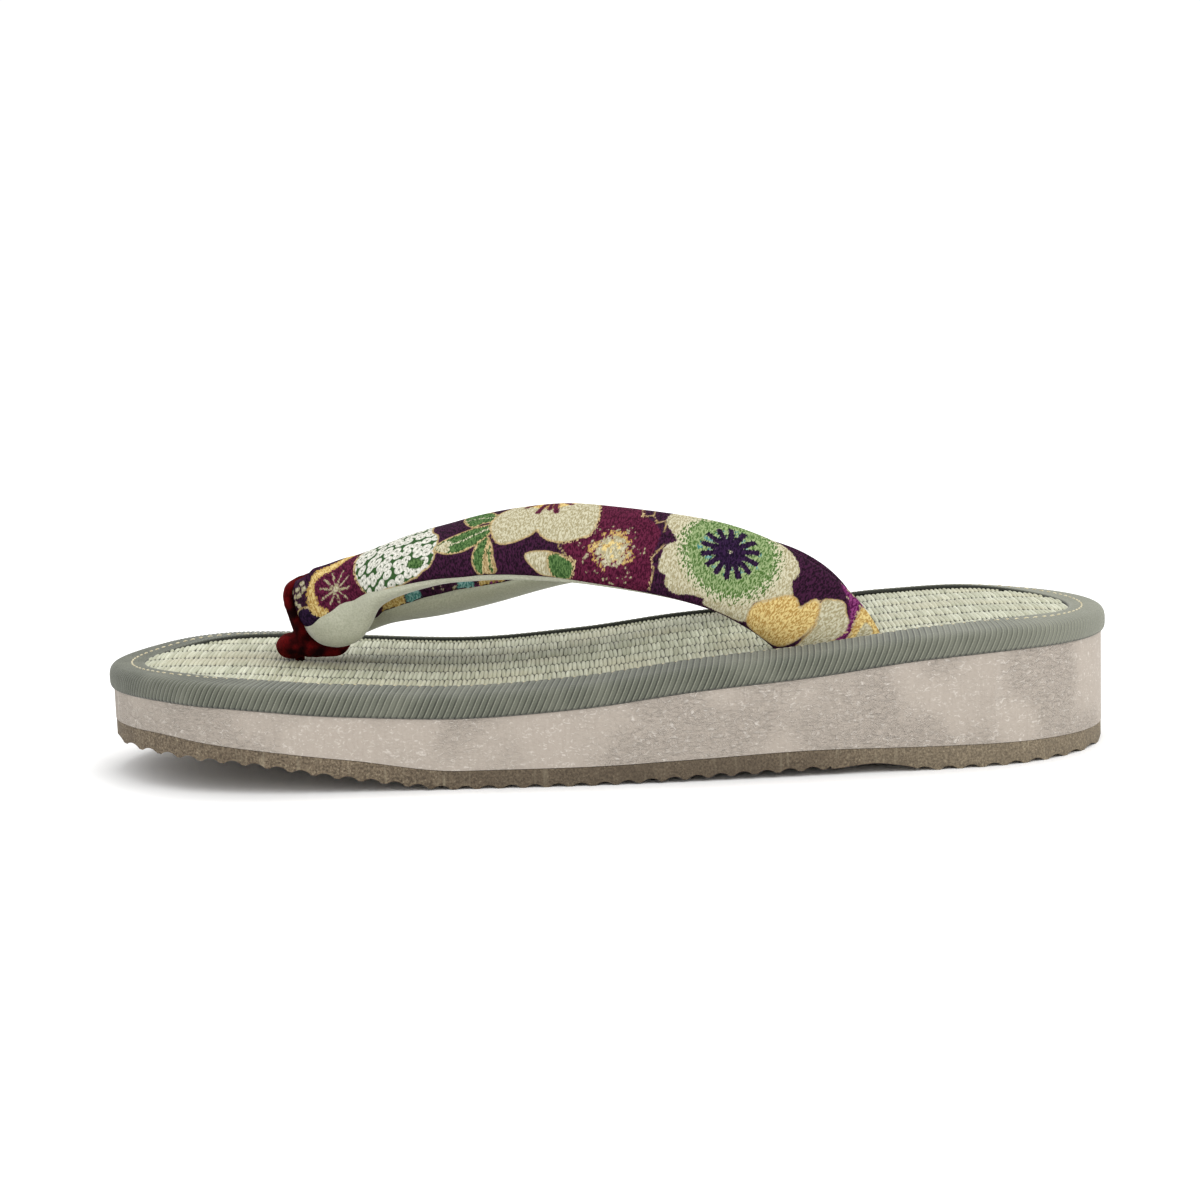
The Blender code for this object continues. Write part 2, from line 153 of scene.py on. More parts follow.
def paint(thing: Piece, name: str, values: Array) -> None:
    """Stores one number at each point of a piece, for its material to read."""
    layer = thing.data.attributes.new(name, "FLOAT", "POINT")
    layer.data.foreach_set("value", np.ascontiguousarray(values, dtype=np.float32))


def close_up(thing: Piece, holes: bool = False, within: float = 1e-6) -> None:
    """Sews the edges of a wrapped cloth that lie on each other and turns its faces outwards.

    Args:
        thing: The wrapped piece.
        holes: Whether what is still open gets a cap.
        within: Points this close become one.
    """
    select_only(thing)
    bpy.ops.object.mode_set(mode="EDIT")
    bpy.ops.mesh.select_all(action="SELECT")
    bpy.ops.mesh.remove_doubles(threshold=within)
    if holes:
        bpy.ops.mesh.select_all(action="SELECT")
        bpy.ops.mesh.fill_holes(sides=0)
    bpy.ops.mesh.select_all(action="SELECT")
    bpy.ops.mesh.normals_make_consistent(inside=False)
    bpy.ops.object.mode_set(mode="OBJECT")


def smooth_shading(thing: Piece, angle: float = 40.0) -> None:
    """Shades a piece smooth except across edges sharper than the angle, in degrees."""
    select_only(thing)
    bpy.ops.object.shade_smooth_by_angle(angle=math.radians(angle))


def apply_modifier(thing: Piece, kind: str, **settings: object) -> None:
    """Adds a modifier with its settings and applies it.

    Args:
        thing: The piece that gets it.
        kind: The modifier's type.
        **settings: Its settings by name.
    """
    step = thing.modifiers.new(kind.lower(), kind)
    for key, value in settings.items():
        setattr(step, key, value)
    select_only(thing)
    bpy.ops.object.modifier_apply(modifier=step.name)


def join(things: Sequence[Piece]) -> Piece:
    """Joins pieces into the first one.

    Args:
        things: The pieces, of which the first takes in the others.

    Returns:
        The joined piece.
    """
    select_only(things[0])
    for thing in things:
        thing.select_set(True)
    bpy.ops.object.join()
    return things[0]


def scatter(thing: Piece, frames: Sequence[Array], name: str) -> Piece:
    """Copies one small piece to each frame, each copy with its own mesh, and joins the copies.

    Args:
        thing: The piece to copy, which is removed afterwards.
        frames: For each copy a 4 by 4 matrix.
        name: The name of the joined piece.

    Returns:
        The joined piece, with a number from 0 to 1 for each copy in its attribute "copy".
    """
    points, mesh = points_of(thing), thing.data
    corners = [list(face.vertices) for face in mesh.polygons]
    wide = np.hstack([points, np.ones((len(points), 1))])
    moved = np.concatenate([wide @ np.asarray(matrix).T for matrix in frames])[:, :3]
    faces = [[v + i * len(points) for v in face] for i in range(len(frames)) for face in corners]
    joined = bpy.data.meshes.new(name)
    joined.from_pydata(moved.tolist(), [], faces)
    copies = bpy.data.objects.new(name, joined)
    bpy.context.scene.collection.objects.link(copies)
    chance = np.random.default_rng(SEED).random(len(frames))
    paint(copies, "copy", np.repeat(chance, len(points)))
    bpy.data.objects.remove(thing, do_unlink=True)
    smooth_shading(copies, 60.0)
    return copies


def curve_through(keys: Sequence[float], values: Sequence[float], at: Array | float) -> Array:
    """Values on a smooth curve through a table that doesn't swing past it.

    Args:
        keys: Rising keys of the table.
        values: The table's values.
        at: Keys to read the curve at.

    Returns:
        The curve's values.
    """
    keys, values = np.asarray(keys, float), np.asarray(values, float)
    steps = np.diff(keys)
    rises = np.diff(values) / steps
    product, total = rises[:-1] * rises[1:], rises[:-1] + rises[1:]
    inner = np.where(product > 0, 2 * product / np.where(product > 0, total, 1.0), 0.0)
    slopes = np.concatenate([rises[:1], inner, rises[-1:]])
    at = np.clip(np.asarray(at, float), keys[0], keys[-1])
    i = np.clip(np.searchsorted(keys, at, side="right") - 1, 0, len(keys) - 2)
    u = (at - keys[i]) / steps[i]
    curve = (2 * u**3 - 3 * u**2 + 1) * values[i] + (u**3 - 2 * u**2 + u) * steps[i] * slopes[i]
    return curve + (3 * u**2 - 2 * u**3) * values[i + 1] + (u**3 - u**2) * steps[i] * slopes[i + 1]


def column(table: Sequence[Sequence[float]], number: int, at: Array | float) -> Array:
    """One column of a table, read along its first column."""
    return curve_through([row[0] for row in table], [row[number] for row in table], at)


def unit(rows: Array) -> Array:
    """Rows of vectors made one long."""
    return rows / np.linalg.norm(rows, axis=1, keepdims=True)


# ---- finishes ----

Colour = tuple[float, float, float, float]


def linear(code: str) -> Colour:
    """Turns an sRGB hex colour into the linear one that shaders take.

    Args:
        code: The colour, as # and six digits.

    Returns:
        Red, green, blue and an alpha of 1.
    """
    parts = [int(code[i : i + 2], 16) / 255 for i in (1, 3, 5)]
    red, green, blue = (c / 12.92 if c <= 0.04045 else ((c + 0.055) / 1.055) ** 2.4 for c in parts)
    return red, green, blue, 1.0


@dataclass(frozen=True)
class NodeKind:
    """A kind of node: Blender's type, its inputs in the order they are given, its output and fixed settings."""

    type: str
    inputs: tuple[str | int, ...]
    output: str | int
    settings: dict[str, object] = field(default_factory=dict)


OBJECT_PLACE = NodeKind("ShaderNodeTexCoord", (), "Object")
CLOTH_PLACE = NodeKind("ShaderNodeUVMap", (), "UV", {"uv_map": "cloth"})
PAINTED = NodeKind("ShaderNodeAttribute", (), "Fac")
STRETCH = NodeKind("ShaderNodeMapping", ("Vector", "Scale", "Location"), "Vector")
NOISE = NodeKind("ShaderNodeTexNoise", ("Vector", "Scale", "Detail", "Roughness", "Distortion"), "Fac")
ROUNDS = NodeKind(
    "ShaderNodeTexVoronoi",
    ("Vector", "Scale", "Randomness"),
    "Distance",
    {"feature": "F1", "voronoi_dimensions": "2D"},
)
RAMP = NodeKind(
    "ShaderNodeMapRange",
    ("Value", "From Min", "From Max", "To Min", "To Max"),
    "Result",
    {"interpolation_type": "SMOOTHSTEP"},
)
MIX = NodeKind("ShaderNodeMix", (0, 6, 7), 2, {"data_type": "RGBA", "clamp_factor": True})
SUM = NodeKind("ShaderNodeMath", (0, 1), 0, {"operation": "ADD"})
PRODUCT = NodeKind("ShaderNodeMath", (0, 1), 0, {"operation": "MULTIPLY"})
TURN = NodeKind("ShaderNodeMath", (0, 1), 0, {"operation": "ARCTAN2"})
LENGTH = NodeKind("ShaderNodeVectorMath", (0,), "Value", {"operation": "LENGTH"})
SPLIT = NodeKind("ShaderNodeSeparateXYZ", ("Vector",), "X")
BUMP = NodeKind("ShaderNodeBump", ("Height", "Distance", "Normal"), "Normal")


def feed(tree: Tree, socket: Socket, value: Socket | str | float | tuple[float, ...]) -> None:
    """Links an input to a socket, or sets it to a constant.

    Args:
        tree: The material's node tree.
        socket: The input.
        value: The socket to link, a hex colour or another constant.
    """
    if isinstance(value, Socket):
        tree.links.new(value, socket)
    else:
        socket.default_value = linear(value) if isinstance(value, str) else value


def add_node(
    tree: Tree, kind: NodeKind, *inputs: Socket | str | float | tuple[float, ...], **settings: object
) -> Socket:
    """Adds a node with its settings, its constants and the links into it.

    Args:
        tree: The material's node tree.
        kind: The kind of node.
        *inputs: What feeds each of the kind's inputs, in its order. Those left over keep Blender's value.
        **settings: The node's own settings.

    Returns:
        The output that the kind names.
    """
    node = tree.nodes.new(kind.type)
    for key, value in (kind.settings | settings).items():
        setattr(node, key, value)
    for key, value in zip(kind.inputs, inputs):
        feed(tree, node.inputs[key], value)
    return node.outputs[kind.output]


Coat = tuple[Socket, float, float, float, float, str]


def tint(tree: Tree, colour: Socket | str, *coats: Coat) -> Socket:
    """Lays colours over a ground, each as far as its pattern says.

    Args:
        tree: The material's node tree.
        colour: The ground.
        *coats: For each coat its pattern, the pattern's range, the coat's share at both ends, and its colour.

    Returns:
        The colour.
    """
    for pattern, low, high, first, last, coat in coats:
        share = add_node(tree, RAMP, pattern, low, high, first, last)
        colour = add_node(tree, MIX, share, colour, coat)
    return colour


def new_material(name: str) -> tuple[Material, Tree]:
    """Starts a material with its Principled shader.

    Args:
        name: What the real material is.

    Returns:
        The material and its node tree.
    """
    material = bpy.data.materials.new(name)
    material.use_nodes = True
    return material, material.node_tree


def set_shader(tree: Tree, **inputs: Socket | str | float) -> None:
    """Feeds the Principled shader.

    Args:
        tree: The material's node tree.
        **inputs: What feeds each input, with _ for the space in its name.
    """
    shader = tree.nodes["Principled BSDF"]
    for key, value in inputs.items():
        feed(tree, shader.inputs[key.replace("_", " ")], value)


@dataclass(frozen=True)
class FoamRubber:
    """Brown crumbly foam rubber, cut by a knife: dull, granular, with upright drag marks."""

    dark: str = "#493e31"
    body: str = "#7a6c58"
    crumb: str = "#b0a58b"
    grain: float = 0.00045
    drag: float = 0.0009
    drag_long: float = 0.012
    patch: float = 0.011
    # x where the painted shade under the arch comes in and goes out, and where the paler heel starts
    arch_shade_in: tuple[float, float] = (-0.06, -0.02)
    arch_shade_out: tuple[float, float] = (0.03, 0.06)
    heel: tuple[float, float] = (0.04, 0.08)

    def make(self) -> Material:
        """Builds the material.

        Returns:
            The material.
        """
        material, tree = new_material("cut_foam_rubber")
        place = add_node(tree, OBJECT_PLACE)
        upright = add_node(tree, STRETCH, place, (1 / self.drag, 1 / self.drag, 1 / self.drag_long))
        fine = add_node(tree, NOISE, place, 1 / self.grain, 3.0, 0.65)
        drag = add_node(tree, NOISE, upright, 1.0, 2.0)
        patch = add_node(tree, NOISE, place, 1 / self.patch, 1.0)
        colour = tint(
            tree, self.dark, (fine, 0.34, 0.62, 0, 1, self.body), (drag, 0.56, 0.80, 0, 0.45, self.crumb),
            (fine, 0.60, 0.74, 0, 0.8, self.crumb), (patch, 0.35, 0.75, 0, 0.3, self.dark),
        )
        at_x = add_node(tree, SPLIT, place)
        # painted shade under the arch, in the middle of the sandal's length
        shaded = add_node(tree, RAMP, at_x, *self.arch_shade_in, 0, 0.55)
        arch = add_node(tree, PRODUCT, shaded, add_node(tree, RAMP, at_x, *self.arch_shade_out, 1, 0))
        colour = add_node(tree, MIX, arch, colour, self.dark)
        colour = tint(tree, colour, (at_x, *self.heel, 0, 0.12, self.crumb))
        bumps = add_node(tree, BUMP, fine, 0.00022, add_node(tree, BUMP, drag, 0.00012))
        set_shader(tree, Base_Color=colour, Normal=bumps, Roughness=0.92, IOR=1.5)
        return material


@dataclass(frozen=True)
class EvaFoam:
    """Pinkish cream EVA foam: dull skin with fine short wrinkles, painted with shade in their hollows and highlights on
    their crests, and faint upright sanding marks.
    """

    shade: str = "#998f84"
    body: str = "#aaa095"
    light: str = "#c9c2b9"
    wrinkle: float = 0.0008
    sanding: tuple[float, float] = (0.0007, 0.006)
    scratch: tuple[float, float] = (0.0035, 0.05)
    patch: float = 0.02
    # x over which the upright scratches fade out behind the toe
    toe: tuple[float, float] = (-0.088, -0.066)

    def make(self) -> Material:
        """Builds the material.

        Returns:
            The material.
        """
        material, tree = new_material("cream_eva_foam")
        place = add_node(tree, OBJECT_PLACE)
        size = self.wrinkle
        short = add_node(tree, STRETCH, place, (0.6 / size, 0.6 / size, 1 / size))
        wrinkle = add_node(tree, NOISE, short, 1.0, 3.0, 0.6, 1.6)
        sanding, scratch = (
            add_node(tree, NOISE, add_node(tree, STRETCH, place, (1 / wide, 1 / wide, 1 / tall)), 1.0, detail, 0.7)
            for (wide, tall), detail in ((self.sanding, 3.0), (self.scratch, 2.0))
        )
        patch = add_node(tree, NOISE, place, 1 / self.patch, 1.0)
        # painted shade in the hollows of the wrinkles, and darker sanding streaks
        colour = tint(
            tree, self.body, (wrinkle, 0.30, 0.50, 0.35, 0, self.shade), (sanding, 0.35, 0.65, 0.25, 0, self.shade),
        )
        at_toe = add_node(tree, RAMP, add_node(tree, SPLIT, place), *self.toe, 0.75, 0.10)
        marks = add_node(tree, PRODUCT, add_node(tree, RAMP, scratch, 0.68, 0.75), at_toe)
        colour = add_node(tree, MIX, marks, colour, self.light)
        # painted highlights on the crests of the wrinkles
        colour = tint(tree, colour, (wrinkle, 0.57, 0.66, 0, 0.7, self.light))
        worked = add_node(tree, PRODUCT, wrinkle, add_node(tree, RAMP, patch, 0.38, 0.58, 0.15, 1))
        bumps = add_node(tree, BUMP, worked, 0.0008, add_node(tree, BUMP, sanding, 0.00006))
        set_shader(tree, Base_Color=colour, Normal=bumps, Roughness=0.82, IOR=1.47)
        return material


@dataclass(frozen=True)
class RushStraw:
    """Dried rush, woven: silky strands of grey green, each its own shade, with painted shade round the post and in the
    slits between strands.
    """

    green: str = "#a4a78e"
    pale: str = "#ccceb8"
    straw: str = "#bab69a"
    dark_fibre_and_shade: str = "#8c8569"
    # colour of the painted shade low on each strand, in the slits between strands
    slit_shade: str = "#45463a"
    fibre: tuple[float, float] = (0.00016, 0.004)
    patch: tuple[float, float] = (0.016, 0.012)
    ragged: tuple[float, float] = (0.006, 0.004)
    # middle and reach of the painted brown shade round the post, under the strap and the knot
    post_shade_at: tuple[float, float] = (-0.070, 0.0)
    post_shade_reach: tuple[float, float] = (0.034, 0.017)

    def make(self) -> Material:
        """Builds the material of the strands.

        Returns:
            The material.
        """
        material, tree = new_material("woven_rush_straw")
        strand, crown = (add_node(tree, PAINTED, attribute_name=name) for name in ("copy", "crown"))
        place = add_node(tree, OBJECT_PLACE)
        fibre, patch, ragged = (
            add_node(tree, NOISE, add_node(tree, STRETCH, place, (1 / wide, 1 / long, 1 / wide)), 1.0, 2.0)
            for wide, long in (self.fibre, self.patch, self.ragged)
        )
        colour = add_node(tree, MIX, strand, self.green, self.pale)
        colour = tint(
            tree, colour, (patch, 0.42, 0.66, 0, 0.55, self.straw), (fibre, 0.35, 0.7, 0.35, 0, self.dark_fibre_and_shade),
        )
        away = add_node(tree, SUM, self.from_post(tree, place), ragged)
        # painted brown shade round the post, then painted shade low on each strand in the slits between strands
        colour = tint(
            tree, colour, (away, 0.5, 1.5, 0.75, 0, self.dark_fibre_and_shade), (crown, 0.12, 0.46, 0.85, 0, self.slit_shade),
        )
        bumps = add_node(tree, BUMP, fibre, 0.00008)
        soft = {"Sheen_Weight": 0.15, "Sheen_Roughness": 0.4}
        set_shader(tree, Base_Color=colour, Normal=bumps, Roughness=0.58, IOR=1.45, **soft)
        return material

    def from_post(self, tree: Tree, place: Socket) -> Socket:
        """Distance from the middle of the painted shade round the post, as a share of its reach.

        Args:
            tree: The material's node tree.
            place: The object's own coordinates.

        Returns:
            The distance.
        """
        reach_x, reach_y = self.post_shade_reach
        centre = (-self.post_shade_at[0] / reach_x, -self.post_shade_at[1] / reach_y, 0)
        return add_node(tree, LENGTH, add_node(tree, STRETCH, place, (1 / reach_x, 1 / reach_y, 0), centre))


@dataclass(frozen=True)
class MatBacking:
    """The warp side of the mat, seen only in the slits between strands: dull, and painted dark as the shade in those
    slits.
    """

    dark: str = "#3c3c31"
    body: str = "#5c5c50"
    grain: tuple[float, float] = (0.0005, 0.003)

    def make(self) -> Material:
        """Builds the material.

        Returns:
            The material.
        """
        material, tree = new_material("mat_backing")
        wide, long = self.grain
        drawn = add_node(tree, STRETCH, add_node(tree, OBJECT_PLACE), (1 / wide, 1 / long, 1 / wide))
        grain = add_node(tree, NOISE, drawn, 1.0, 2.0)
        # the whole backing is painted dark: painted shade in the slits between the strands
        colour = tint(tree, self.dark, (grain, 0.3, 0.7, 0, 1, self.body))
        set_shader(tree, Base_Color=colour, Normal=add_node(tree, BUMP, grain, 0.0001), Roughness=0.9)
        return material


@dataclass(frozen=True)
class RibbedBraid:
    """Sage green ribbed binding tape of cotton: each rib a broad band with a thin painted highlight line by a valley of
    painted shade.
    """

    valley: str = "#35382e"
    body: str = "#5a5d50"
    crest: str = "#878879"
    edge: str = "#23261e"
    thread: float = 0.00035
    patch: float = 0.01
    # x over which the tape is painted paler towards the heel: painted light on the end that faces the key light
    heel: tuple[float, float] = (0.05, 0.115)

    def make(self) -> Material:
        """Builds the material.

        Returns:
            The material.
        """
        material, tree = new_material("ribbed_cotton_tape")
        sine, cosine, seam_and_gap_shade = (
            add_node(tree, PAINTED, attribute_name=name) for name in ("rib_sine", "rib_cosine", "seam_and_gap_shade")
        )
        # turn within a rib in radians: painted shade in the valleys at both ends, a painted highlight line in the upper
        # half
        turn = add_node(tree, TURN, sine, cosine)
        place = add_node(tree, OBJECT_PLACE)
        yarn = add_node(tree, STRETCH, add_node(tree, CLOTH_PLACE), (1 / self.thread, 1 / self.thread, 1))
        thread = add_node(tree, NOISE, yarn, 1.0, 2.0)
        patch = add_node(tree, NOISE, place, 1 / self.patch, 2.0)
        # painted shade in the rib valleys and a painted highlight line on each rib, then random thread and patch tones
        colour = tint(
            tree, self.valley, (turn, -2.6, -1.9, 0, 1, self.body), (turn, 0.9, 1.5, 0, 0.9, self.crest),
            (turn, 2.0, 2.6, 0, 1, self.valley), (thread, 0.35, 0.7, 0.3, 0, self.valley),
            (patch, 0.4, 0.75, 0, 0.25, self.crest),
        )
        # painted light towards the heel, the end that faces the key light
        paler = add_node(tree, RAMP, add_node(tree, SPLIT, place), *self.heel, 0, 0.45)
        # dark seam line at the tape's foot with painted shade where the rib valleys meet it, and painted shade in the
        # gap under the flap's inner edge
        colour = add_node(tree, MIX, seam_and_gap_shade, add_node(tree, MIX, paler, colour, self.crest), self.edge)
        bumps = add_node(tree, BUMP, thread, 0.0001)
        set_shader(tree, Base_Color=colour, Normal=bumps, Roughness=0.8, Sheen_Weight=0.2, Sheen_Roughness=0.5)
        return material


@dataclass(frozen=True)
class SewingThread:
    """Cream cotton sewing thread: two plies, faintly glossy."""

    body: str = "#c9c09f"
    shade: str = "#a69975"
    ply: float = 0.0006

    def make(self) -> Material:
        """Builds the material.

        Returns:
            The material.
        """
        material, tree = new_material("cream_sewing_thread")
        twist = add_node(tree, NOISE, add_node(tree, OBJECT_PLACE), 1 / self.ply, 1.0)
        colour = tint(tree, self.shade, (twist, 0.35, 0.6, 0, 1, self.body))
        bumps = add_node(tree, BUMP, twist, 0.0001)
        set_shader(tree, Base_Color=colour, Normal=bumps, Roughness=0.6, Sheen_Weight=0.2)
        return material


@dataclass(frozen=True)
class Flannel:
    """Raised cotton flannel lining, off-white: soft, matt, with a short nap."""

    body: str = "#bfc0ad"
    shade: str = "#a7a893"
    nap: float = 0.0004
    cloud: float = 0.006

    def make(self) -> Material:
        """Builds the material.

        Returns:
            The material.
        """
        material, tree = new_material("raised_cotton_flannel")
        place = add_node(tree, OBJECT_PLACE)
        nap = add_node(tree, NOISE, place, 1 / self.nap, 3.0, 0.6)
        cloud = add_node(tree, NOISE, place, 1 / self.cloud, 2.0)
        colour = tint(
            tree, self.shade, (nap, 0.3, 0.65, 0, 1, self.body), (cloud, 0.4, 0.7, 0, 0.35, self.shade),
        )
        bumps = add_node(tree, BUMP, nap, 0.0001)
        set_shader(tree, Base_Color=colour, Normal=bumps, Roughness=0.95, Sheen_Weight=0.5, Sheen_Roughness=0.5)
        return material


@dataclass(frozen=True)
class Velvet:
    """Dark red cotton velvet: almost black face on, a red edge where the pile leans away."""

    deep: str = "#130203"
    body: str = "#5c0b0d"
    edge: str = "#a8221c"
    pile: float = 0.0003
    lean: float = 0.004

    def make(self) -> Material:
        """Builds the material.

        Returns:
            The material.
        """
        material, tree = new_material("dark_red_velvet")
        place = add_node(tree, OBJECT_PLACE)
        pile = add_node(tree, NOISE, place, 1 / self.pile, 3.0, 0.6)
        lean = add_node(tree, NOISE, place, 1 / self.lean, 2.0)
        colour = tint(
            tree, self.deep, (lean, 0.35, 0.65, 0, 1, self.body), (pile, 0.3, 0.6, 0.5, 0, self.deep),
        )
        soft = {"Sheen_Weight": 0.35, "Sheen_Roughness": 0.3, "Sheen_Tint": self.edge}
        bumps = add_node(tree, BUMP, pile, 0.00015)
        set_shader(tree, Base_Color=colour, Normal=bumps, Roughness=0.95, Specular_IOR_Level=0.05, **soft)
        return material


@dataclass(frozen=True)
class Dye:
    """One dye of the print: its colour, a lighter second shade that the crinkles' crests take as painted highlight, in
    the mottled dye also its paler flecks, and how ragged and soft its edge is, in metres.
    """

    ink: Ink
    colour: str
    second: str
    ragged: float = 0.00035
    soft: float = 0.00012


@dataclass(frozen=True)
class PrintedCrepe:
    """Hand-printed silk crepe: dull, its dyes broken up by the short crinkles of its twisted yarn, painted lighter on
    their crests and darker in their hollows as painted highlight and shade.
    """

    plum: str = "#1b0b18"
    plum_highlight: str = "#3b1a33"
    crinkle: tuple[float, float] = (0.00080, 0.00036)
    cell: tuple[float, float] = (0.0023, 0.0021)
    cell_wall: str = "#31502a"
    cell_speck: str = "#46523c"
    dyes: tuple[Dye, ...] = (
        Dye(Ink.GOLD, "#8a744c", "#b8a47a", 0.00010),
        Dye(Ink.MAROON, "#380c20", "#5c1f38", 0.00025),
        Dye(Ink.MAGENTA, "#4a0f3c", "#803a6c", 0.00035),
        Dye(Ink.OCHRE, "#a68448", "#d4be80", 0.00030),
        Dye(Ink.CREAM, "#988f6f", "#c0bba1", 0.00018),
        Dye(Ink.MOTTLE, "#46632f", "#8d9e70", 0.0015, 0.0003),
        Dye(Ink.CELLS, "#b3b3a8", "#dcdad0", 0.00010),
        Dye(Ink.TEAL, "#3f7470", "#86b0aa", 0.00030),
        Dye(Ink.GREEN, "#2d4a24", "#587544", 0.00020),
        Dye(Ink.NIGHT, "#150a1e", "#2e1a38", 0.00015),
    )

    def make(self) -> Material:
        """Builds the material.

        Returns:
            The material.
        """
        material, tree = new_material("printed_silk_crepe")
        place = add_node(tree, CLOTH_PLACE)
        along, across = self.crinkle
        crinkle = add_node(tree, NOISE, add_node(tree, STRETCH, place, (1 / across, 1 / along, 1)), 1.0, 1.5, 0.5, 0.7)
        # the crinkles' crests take the lighter shade of the plum and of each dye: painted highlight, with painted shade
        # in the hollows
        crest = add_node(tree, RAMP, crinkle, 0.40, 0.60)
        edge = add_node(tree, RAMP, crinkle, 0.33, 0.67, -1, 1)
        colour = add_node(tree, MIX, crest, self.plum, self.plum_highlight)
        for dye in self.dyes:
            reach = add_node(tree, PAINTED, attribute_name=dye.ink.value)
            ragged = add_node(tree, SUM, reach, add_node(tree, PRODUCT, edge, dye.ragged))
            share = add_node(tree, RAMP, ragged, -dye.soft, dye.soft, 1, 0)
            shade = add_node(tree, MIX, crest, dye.colour, dye.second)
            if dye.ink is Ink.CELLS:
                shade = self.cells(tree, place, shade)
            colour = add_node(tree, MIX, share, colour, shade)
        bumps = add_node(tree, BUMP, crinkle, 0.00022)
        set_shader(tree, Base_Color=colour, Normal=bumps, Roughness=0.85, IOR=1.4, Specular_IOR_Level=0.08)
        return material

    def cells(self, tree: Tree, place: Socket, white: Socket) -> Socket:
        """Tie-dyed cells: white rounds with a dark speck, green between them.

        Args:
            tree: The material's node tree.
            place: The cloth's own coordinates.
            white: The colour of the rounds.

        Returns:
            The cells' colour.
        """
        wide, tall = self.cell
        away = add_node(tree, ROUNDS, add_node(tree, STRETCH, place, (1 / wide, 1 / tall, 1)), 1.0, 0.42)
        colour = tint(tree, white, (away, 0.46, 0.56, 0, 1, self.cell_wall))
        return add_node(tree, MIX, add_node(tree, RAMP, away, 0.07, 0.16, 0.85, 0), colour, self.cell_speck)


@dataclass(frozen=True)
class PaleFloor:
    """Matt white studio sheet."""

    body: str = "#fafafa"
    cloud: str = "#fdfdfd"
    grain: float = 0.025

    def make(self) -> Material:
        """Builds the material.

        Returns:
            The material.
        """
        material, tree = new_material("white_studio_sheet")
        grain = add_node(tree, NOISE, add_node(tree, OBJECT_PLACE), 1 / self.grain, 2.0)
        colour = tint(tree, self.body, (grain, 0.3, 0.7, 0, 1, self.cloud))
        set_shader(tree, Base_Color=colour, Roughness=0.9, Specular_IOR_Level=0.0)
        return material


# ---- the last that all pieces share ----


